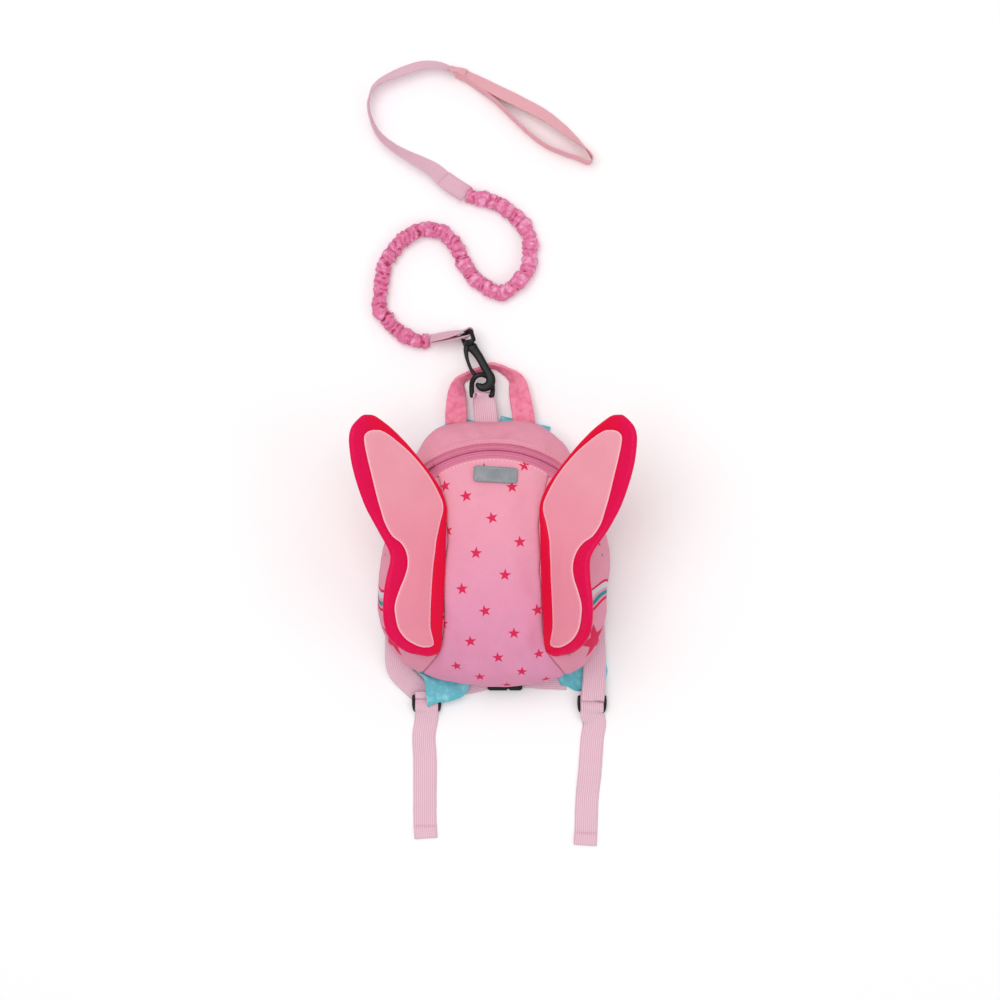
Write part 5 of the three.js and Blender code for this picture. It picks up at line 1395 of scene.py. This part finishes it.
def make_wing(side, hand, lobe):
    def pad_face(x, y, above, rim):
        gap, run, outer = WING_OUTLINE.nearest(x, y)
        # outer says how near the outer side is; the border paints its sheen from it.
        maps = ((x, y), (gap, outer))
        if rim:
            return 0.0, maps
        height = border_height(gap, run, outer, x, y)
        if above:
            return height, maps
        return -min(height, 0.3 + 2.6 * (1 - (1 - min(gap / 3.6, 1)) ** 2) ** 0.5), maps

    fine = smooth_rows([list(row) for row in WING_ROWS], 11)
    bm = wing_grid(fine, hand, lobe, 144, pad_face)
    pad = finish_piece("wing_border_" + side, bm, BORDER, ["wing_" + side])

    def inset_face(x, y, above, rim):
        gap, run, _ = INSET_OUTLINE.nearest(x, y)
        gather = 0.5 * math.sin(run * TURN / 5.1) + wander(run / 2.6, 6.0)
        edge = (1 - (1 - min(gap / 1.1, 1)) ** 2) ** 0.5
        maps = ((x, y), (gap, run))
        base = inset_base(gap) + 0.15
        if rim:
            return base + 0.25, maps
        if not above:
            return base, maps
        stitched = 0.35 * hump(gap - 1.9, 0.6)
        return base + 0.3 + 0.8 * edge - stitched + 0.1 * gather * math.exp(-gap / 4), maps

    fine_inset = smooth_rows([list(row) for row in INSET_ROWS], 11)
    bm = wing_grid(fine_inset, hand, lobe, 120, inset_face)
    inset = finish_piece("wing_inset_" + side + "_cloth", bm, INSET, ["wing_inset_" + side])
    return pad, inset


make_wing("left", -1, 32.0)
make_wing("right", 1, 46.0)


# Handle, tab, hook and ring

HANDLE_ROUTE = [
    (-32.4, -5, 0, 2, 0.98, 1), (-32.4, 4, 0.06, 4, 0.98, 1), (-32.0, 13, 0.25, 10, 0.94, 1),
    (-31.4, 23, 0.6, 22, 0.86, 1.05), (-30.0, 30.4, 0.85, 40, 0.72, 1.15), (-26.6, 34.8, 0.95, 56, 0.58, 1.25),
    (-19, 38.8, 1, 64, 0.5, 1.35), (-9.5, 43.2, 1, 66, 0.5, 1.35), (-2.0, 46.2, 1, 66, 0.5, 1.35),
    (4.8, 44.4, 1, 64, 0.52, 1.35), (12, 40.4, 0.97, 54, 0.6, 1.25), (18, 35.4, 0.85, 36, 0.76, 1.15),
    (21.2, 28.5, 0.6, 20, 0.92, 1.05), (23.4, 16, 0.3, 8, 0.98, 1), (25.6, 4, 0.06, 2, 1, 1), (26.6, -5, 0, 0, 1, 1),
]


def make_handle():
    reach = HALF_HEIGHT * TOP_SHARE
    rows = [(x, reach + y, lerp(HANDLE_Z, HANDLE_TOP_Z, drop), *rest) for x, y, drop, *rest in HANDLE_ROUTE]
    stations = stations_along(rows, 0.9)
    bm = band(stations, HANDLE_WIDTH, HANDLE_THICK, 0.7, 21.0, 32)
    finish_piece("handle_band", bm, HANDLE, ["carry_handle"])


def make_tab():
    root = Vector((RING_X + 2.5, TOP_FRONT + 1, HANDLE_Z))
    stations = hairpin(root, Vector((1, 0, 0)), ring_bar, ring_across, WEB_THICK, RING_RADIUS)
    finish_piece("ring_tab_webbing", band(stations, WEB, WEB_THICK, 0.1, 23.0), WEB_CLOTH, ["ring_tab"])


make_handle()
make_tab()


def rod(bm, rows, sides=20, power=2.6):
    """Rounded bar through rows of place, half width and half height, closed at both ends."""
    line = even_rows(smooth_rows([list(row) for row in rows], 10), 0.5)
    count = len(line)
    part = bmesh.new()
    bmesh.ops.create_grid(part, x_segments=sides, y_segments=count - 1, size=0.5)
    for vertex in part.verts:
        turn, j = TURN * (vertex.co.x + 0.5), round((vertex.co.y + 0.5) * (count - 1))
        before, after = Vector(line[max(j - 1, 0)][:3]), Vector(line[min(j + 1, count - 1)][:3])
        along = (after - before).normalized()
        level = UP.cross(along).normalized()
        co, si = math.cos(turn), math.sin(turn)
        full = (abs(co) ** power + abs(si) ** power) ** (-1 / power)
        end = min(j, count - 1 - j) * 0.5
        close = (1 - (1 - min(end / max(line[j][3], 0.5), 1)) ** 2) ** 0.5 * 0.85 + 0.15
        reach = level * co * line[j][3] + along.cross(level) * si * line[j][4]
        vertex.co = Vector(line[j][:3]) + reach * full * close
    bmesh.ops.remove_doubles(part, verts=part.verts, dist=0.004)
    bmesh.ops.holes_fill(part, edges=part.edges)
    mesh = bpy.data.meshes.new("rod")
    part.to_mesh(mesh)
    part.free()
    bm.from_mesh(mesh)
    bpy.data.meshes.remove(mesh)


def at_bar(rows):
    """Rows measured from the ring's bar moved to their place."""
    return [(ring_bar.x + x, ring_bar.y + y, ring_bar.z + z, wide, high) for x, y, z, wide, high in rows]


HOOK_LIMB = [
    (-12.6, 44.6, 0, 3.6, 2.0), (-10.4, 42.4, 0, 4.8, 2.4), (-7.6, 39, 0, 4.0, 2.2), (-3.8, 33.6, 0.2, 3.6, 2.0),
    (0.1, 26.5, 0.6, 3.5, 2.0), (3.6, 20.3, 1.2, 3.7, 2.1), (6.0, 15.4, 1.8, 4.0, 2.2), (5.8, 11, 1.8, 4.1, 2.2),
    (3.0, 8.0, 1.4, 3.9, 2.1), (-1.4, 7.2, 0.8, 3.4, 1.9), (-4.6, 9.4, 0.4, 2.6, 1.7), (-5.0, 11.4, 0.2, 1.8, 1.5),
]
HOOK_GATE = [
    (-13.4, 44, 0, 2.6, 1.9), (-15.1, 40.6, 0, 2.3, 1.7), (-14.9, 35.3, 0, 1.8, 1.5), (-13.4, 29.2, 0, 1.5, 1.4),
    (-10.9, 23, 0, 1.5, 1.4), (-8, 18.6, 0.2, 1.7, 1.4), (-6.4, 14.6, 0.3, 1.6, 1.3),
]
RING_ARCH = [
    (-9.7, -1.8, 0, 2.1, 2.0), (-10.3, 5.6, 0.6, 2.2, 2.1), (-9.7, 12.2, 2.2, 2.2, 2.1), (-6.6, 16.6, 3.6, 2.2, 2.1),
    (-1.4, 18.2, 3.4, 2.2, 2.1), (3.6, 16.2, 0.2, 2.2, 2.0), (6.6, 12.2, -3.0, 2.2, 2.0), (7.8, 7.6, -3.6, 2.1, 2.0),
    (7.6, 2.6, -2.4, 2.1, 2.0), (7.2, -1.2, -1.2, 2.0, 1.8),
]


def make_fittings():
    bm = bmesh.new()
    rod(bm, at_bar(HOOK_LIMB))
    rod(bm, at_bar(HOOK_GATE))
    rod(bm, at_bar([(-12, 42.4, 0, 4.6, 3.0), (-13.4, 46.6, 0, 3.4, 2.8), (-13.9, 48.6, 0, 3.0, 2.4)]))
    finish_piece("lead_hook", bm, BLACK, ["snap_hook"])
    bm = bmesh.new()
    rod(bm, at_bar(RING_ARCH))
    rod(bm, at_bar([(-9.8, -0.4, -0.2, 1.7, 1.7), (0, 0, -0.6, 1.6, 1.6), (7.4, -0.4, -1.4, 1.7, 1.7)]))
    finish_piece("lead_ring", bm, BLACK, ["d_ring"])


make_fittings()


# Straps

STRAP_WIDTH = 43.0
CHEST_Y, CHEST_Z = -108.0, 3.4
LOCK_BAR, LOCK_SLOT, LOCK_THICK = 2.4, 4.4, 2.6
LOCK_STEP = LOCK_BAR + LOCK_SLOT
OVER_STRAP = 6 + GAP + WEB_THICK / 2
STRAP_LEFT = [
    (-25.6, 116.4, 0.41, 0.6, 4.4), (-28.2, 108.0, 0.6, 0.4, 5), (-34.0, 94.0, 0.9, 0, 6), (-40.0, 76.0, 1, 0, 6),
    (-42.0, 30.0, 1, 0, 6), (-42.0, -20.0, 1, 0, 6),
    (-41.0, -65.0, 1, 0, 6), (-41.5, -96.0, 1, 0.3, 6), (-42.0, -106.0, 1.04, 3.4, 4.4), (-43.6, -113.0, 1.02, 7.4, 3.4),
    (-47.6, -119.6, 0.7, 8.8, 2.8), (-52.0, -125.2, 0.38, 8.8, 2.4), (-54.8, -130.0, 0.14, 8.6, 2.2),
    (-56.4, -133.6, 0.04, 8.4, 1.8),
]
STRAP_RIGHT = [
    (28.2, 113.6, 1.02, 0.6, 4.4), (25.2, 97.0, 1, 0.2, 6), (28.0, 76.0, 1, 0, 6), (38.0, 30.0, 1, 0, 6),
    (47.0, -20.0, 1, 0, 6),
    (59.0, -65.0, 1, 0, 6), (73.0, -95.0, 1, 0, 6), (78.7, -108.0, 1, 0, 5), (80.2, -112.7, 0.85, 0, 3.6),
    (80.8, -116.2, 0.62, 0, 2.8), (81.6, -118.7, 0.35, 0, 2.5),
]
TAIL_LEFT = [
    (-0.8, -17, 1.1), (-2.6, -30, 0.8), (-1.6, -50, 1.4), (-1.6, -76, 0.8), (-1.6, -102, 0.8), (-0.7, -117.7, 0.8),
]
TAIL_RIGHT = [
    (2.2, -18, 1.3), (0.2, -32, 0.8), (-1.6, -58, 1.3), (-4.2, -84, 0.8), (-5.1, -110, 0.8), (-5.9, -123.3, 0.8),
]
ANCHOR_LEFT = [
    (-83.2, -50, OVER_STRAP), (-83.8, -74, OVER_STRAP), (-84.0, -92, 6.2), (-82.8, -100.4, 5.4), (-79.0, -106.4, 4.4),
    (-73.4, -112.2, 3.2), (-65.4, -120, 1.8), (-61, -124.8, 1.4),
]
ANCHOR_RIGHT = [
    (86, -50, OVER_STRAP), (87, -78, OVER_STRAP), (87.6, -94, OVER_STRAP + 0.3), (87.4, -108, 8.6), (86.6, -118, 9.4),
    (86, -127.4, 9.0), (86, -128.4, 8.0), (86, -127.2, 6.9), (86, -122, 6.8),
]


def make_strap(side, rows, seed):
    """Padded strap of crinkled lining, with a rolled edge."""
    line = even_rows(smooth_rows([list(row) for row in rows], 10), 1.5, 2)
    count, sides = len(line), 60
    run = 1.5

    def corner(i, j):
        x, y, wide, under, thick = line[j]
        before, after = Vector(line[max(j - 1, 0)][:2]), Vector(line[min(j + 1, count - 1)][:2])
        along = (after - before).normalized()
        side_way = Vector((-along.y, along.x, 0))
        turn = TURN * i / sides
        across = math.cos(turn)
        half = STRAP_WIDTH * wide / 2
        face = math.copysign(max(1 - abs(across) ** 5, 0) ** 0.5, math.sin(turn)) if i % (sides // 2) else 0.0
        edge = (1 - abs(across)) * half
        crinkle = 0.9 * abs(wander(x / 9 + across * 2, y / 9, seed)) + 0.5 * wander(across * 6, y / 4, seed)
        seam = 0.6 * hump(edge - 3.2, 1.0)
        height = thick / 2 * (1 + face * 0.96) + (crinkle - seam if face > 0 else 0) * ease(edge, 0, 4) * 0.5
        if j in (0, count - 1):
            height = thick / 2
        place = Vector((x, y, under + height + 0.05)) + side_way * across * half
        return place, (across * half, run * j), (edge, run * j), (9, 9), (0, 0)

    bm = fill_ends(weld(cloth_grid(sides, count - 1, corner)))
    piece = finish_piece("strap_" + side, bm, TEAL, ["shoulder_strap_" + side])


def over_lock(lock):
    """Start of the tail: up through the lock and over its lower bar."""
    x, y, z = lock
    top = z + LOCK_THICK + WEB_THICK / 2 + GAP
    steps = ((3.4, -1.6), (1.2, -0.4), (-1.6, 0.5), (-5, 0.2), (-9, -2.2))
    return [(x, y + up, top + rise) for up, rise in steps]


def hem_stitches(name, hem):
    at, side, normal = hem[1][:3]
    line = [(at + side * (WEB / 2 - 1.5) * k + normal * 0.95, normal) for k in (1, 0.5, 0, -0.5, -1)]
    stitches(name, line, 2.4, 1.8, 0.3, PINK_THREAD)


def make_tail(side, tail, lock, seed):
    rows = [*over_lock(lock), *((lock[0] + dx, lock[1] + dy, z) for dx, dy, z in tail)]
    stations = stations_along(rows, 1.0)
    nodes = ["strap_webbing_" + side]
    finish_piece("webbing_tail_" + side, band(stations, WEB, WEB_THICK, 0.35, seed), WEB_CLOTH, nodes)
    hem = lifted(stations, 0, 1e9, WEB_THICK * 0.85)[-12:]
    finish_piece("webbing_hem_" + side, band(hem, WEB * 0.98, WEB_THICK, 0.1, seed + 1), WEB_CLOTH)
    hem_stitches("hem_stitches_" + side, hem)


def make_anchor(side, rows, seed, nodes=()):
    stations = stations_along(rows, 1.0)
    finish_piece("webbing_anchor_" + side, band(stations, WEB, WEB_THICK, 0.2, seed), WEB_CLOTH, nodes)


def make_lock(side, lock):
    """Ladder lock: two side rails that draw in towards the tail, and three bars."""
    x, y, z = lock
    mid = z + LOCK_THICK / 2
    bm = bmesh.new()
    for hand in (-1, 1):
        rail = [(x + hand * 11.3, y + 7.2, mid, 1.2, 1.3), (x + hand * 11.5, y + 2, mid, 1.3, 1.5),
                (x + hand * 11.2, y - 3, mid, 1.3, 1.5), (x + hand * 10.2, y - 7.2, mid, 1.2, 1.3)]
        rod(bm, rail)
    for up in (LOCK_STEP, 0, -LOCK_STEP):
        rod(bm, [(x + across, y + up, mid, 1.1, 1.2) for across in (-10.9, 0, 10.9)])
    finish_piece("strap_lock_" + side, bm, BLACK, ["ladder_lock_" + side])


def make_lock_loop(side, lock):
    x, y, z = lock
    bar = Vector((x, y + LOCK_STEP, z + LOCK_THICK / 2))
    root = bar + Vector((0, 3.2, 0))
    level, radius = Vector((1, 0, 0)), math.hypot(LOCK_BAR, LOCK_THICK) / 2
    stations = hairpin(root, level, bar, level, WEB_THICK, radius, True)
    bm = band(stations, WEB, WEB_THICK, 0.0, 31.0)
    finish_piece("lock_tab_" + side, bm, WEB_CLOTH, ["lock_loop_" + side])


make_strap("left", STRAP_LEFT, 1.0)
make_strap("right", STRAP_RIGHT, 2.0)
make_tail("left", TAIL_LEFT, LOCK_LEFT, 41.0)
make_tail("right", TAIL_RIGHT, LOCK_RIGHT, 43.0)
make_anchor("left", ANCHOR_LEFT, 47.0, ["strap_anchor_left"])
make_anchor("right", ANCHOR_RIGHT, 49.0)
for side, lock in (("left", LOCK_LEFT), ("right", LOCK_RIGHT)):
    make_lock(side, lock)
    make_lock_loop(side, lock)


def make_chest_straps():
    left = (-5.6, -1, ((0, -1.5, 0), (3, -2, 0), (10, -4, -0.6), (24, -6.8, -2.0)))
    right = (25.6, 1, ((0, 0, 0), (3, 0, 0), (18, -1, -0.6), (38, -2, -2.0)))
    for side, (start, hand, steps) in (("left", left), ("right", right)):
        rows = [(start + hand * out, CHEST_Y + up, CHEST_Z + rise) for out, up, rise in steps]
        bm = band(stations_along(rows, 1.0), WEB, WEB_THICK, 0.15, 51.0)
        finish_piece("chest_webbing_" + side, bm, WEB_CLOTH, ["chest_strap_" + side])


make_chest_straps()

for name in ("swivel_eye", "chest_buckle_socket", "chest_buckle_plug"):
    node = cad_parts[name]
    node.data.materials.clear()
    node.data.materials.append(BLACK)


# Floor and light

def make_stage():
    bm = bmesh.new()
    bmesh.ops.create_grid(bm, x_segments=8, y_segments=8, size=4.0)
    mesh = bpy.data.meshes.new("floor")
    bm.to_mesh(mesh)
    bm.free()
    floor = bpy.data.objects.new("floor", mesh)
    bpy.context.scene.collection.objects.link(floor)
    finish = Finish("floor_paper", roughness=0.9)
    mottle = finish.cloud(finish.place(), 400.0, 2.0)
    mesh.materials.append(finish.wear(base_color=finish.mix(mottle, paint(252, 252, 252), paint(254, 254, 254))))


def make_lights():
    world = bpy.data.worlds.new("studio")
    world.use_nodes = True
    back = world.node_tree.nodes["Background"]
    back.inputs["Color"].default_value = (1.0, 1.0, 1.0, 1.0)
    back.inputs["Strength"].default_value = 0.64
    bpy.context.scene.world = world
    for name, place, size, power in (
        ("overhead_softbox", (-0.4, 0.5, 2.0), 1.4, 19.0),
        ("side_softbox", (1.5, -0.6, 1.5), 1.2, 5.0),
    ):
        light = bpy.data.lights.new(name, "AREA")
        light.shape, light.size, light.energy = "SQUARE", size, power
        lamp = bpy.data.objects.new(name, light)
        lamp.location = place
        lamp.rotation_mode = "QUATERNION"
        lamp.rotation_quaternion = (-Vector(place)).to_track_quat("-Z", "Y")
        bpy.context.scene.collection.objects.link(lamp)


make_stage()
make_lights()
bpy.context.scene.view_settings.view_transform = "Standard"
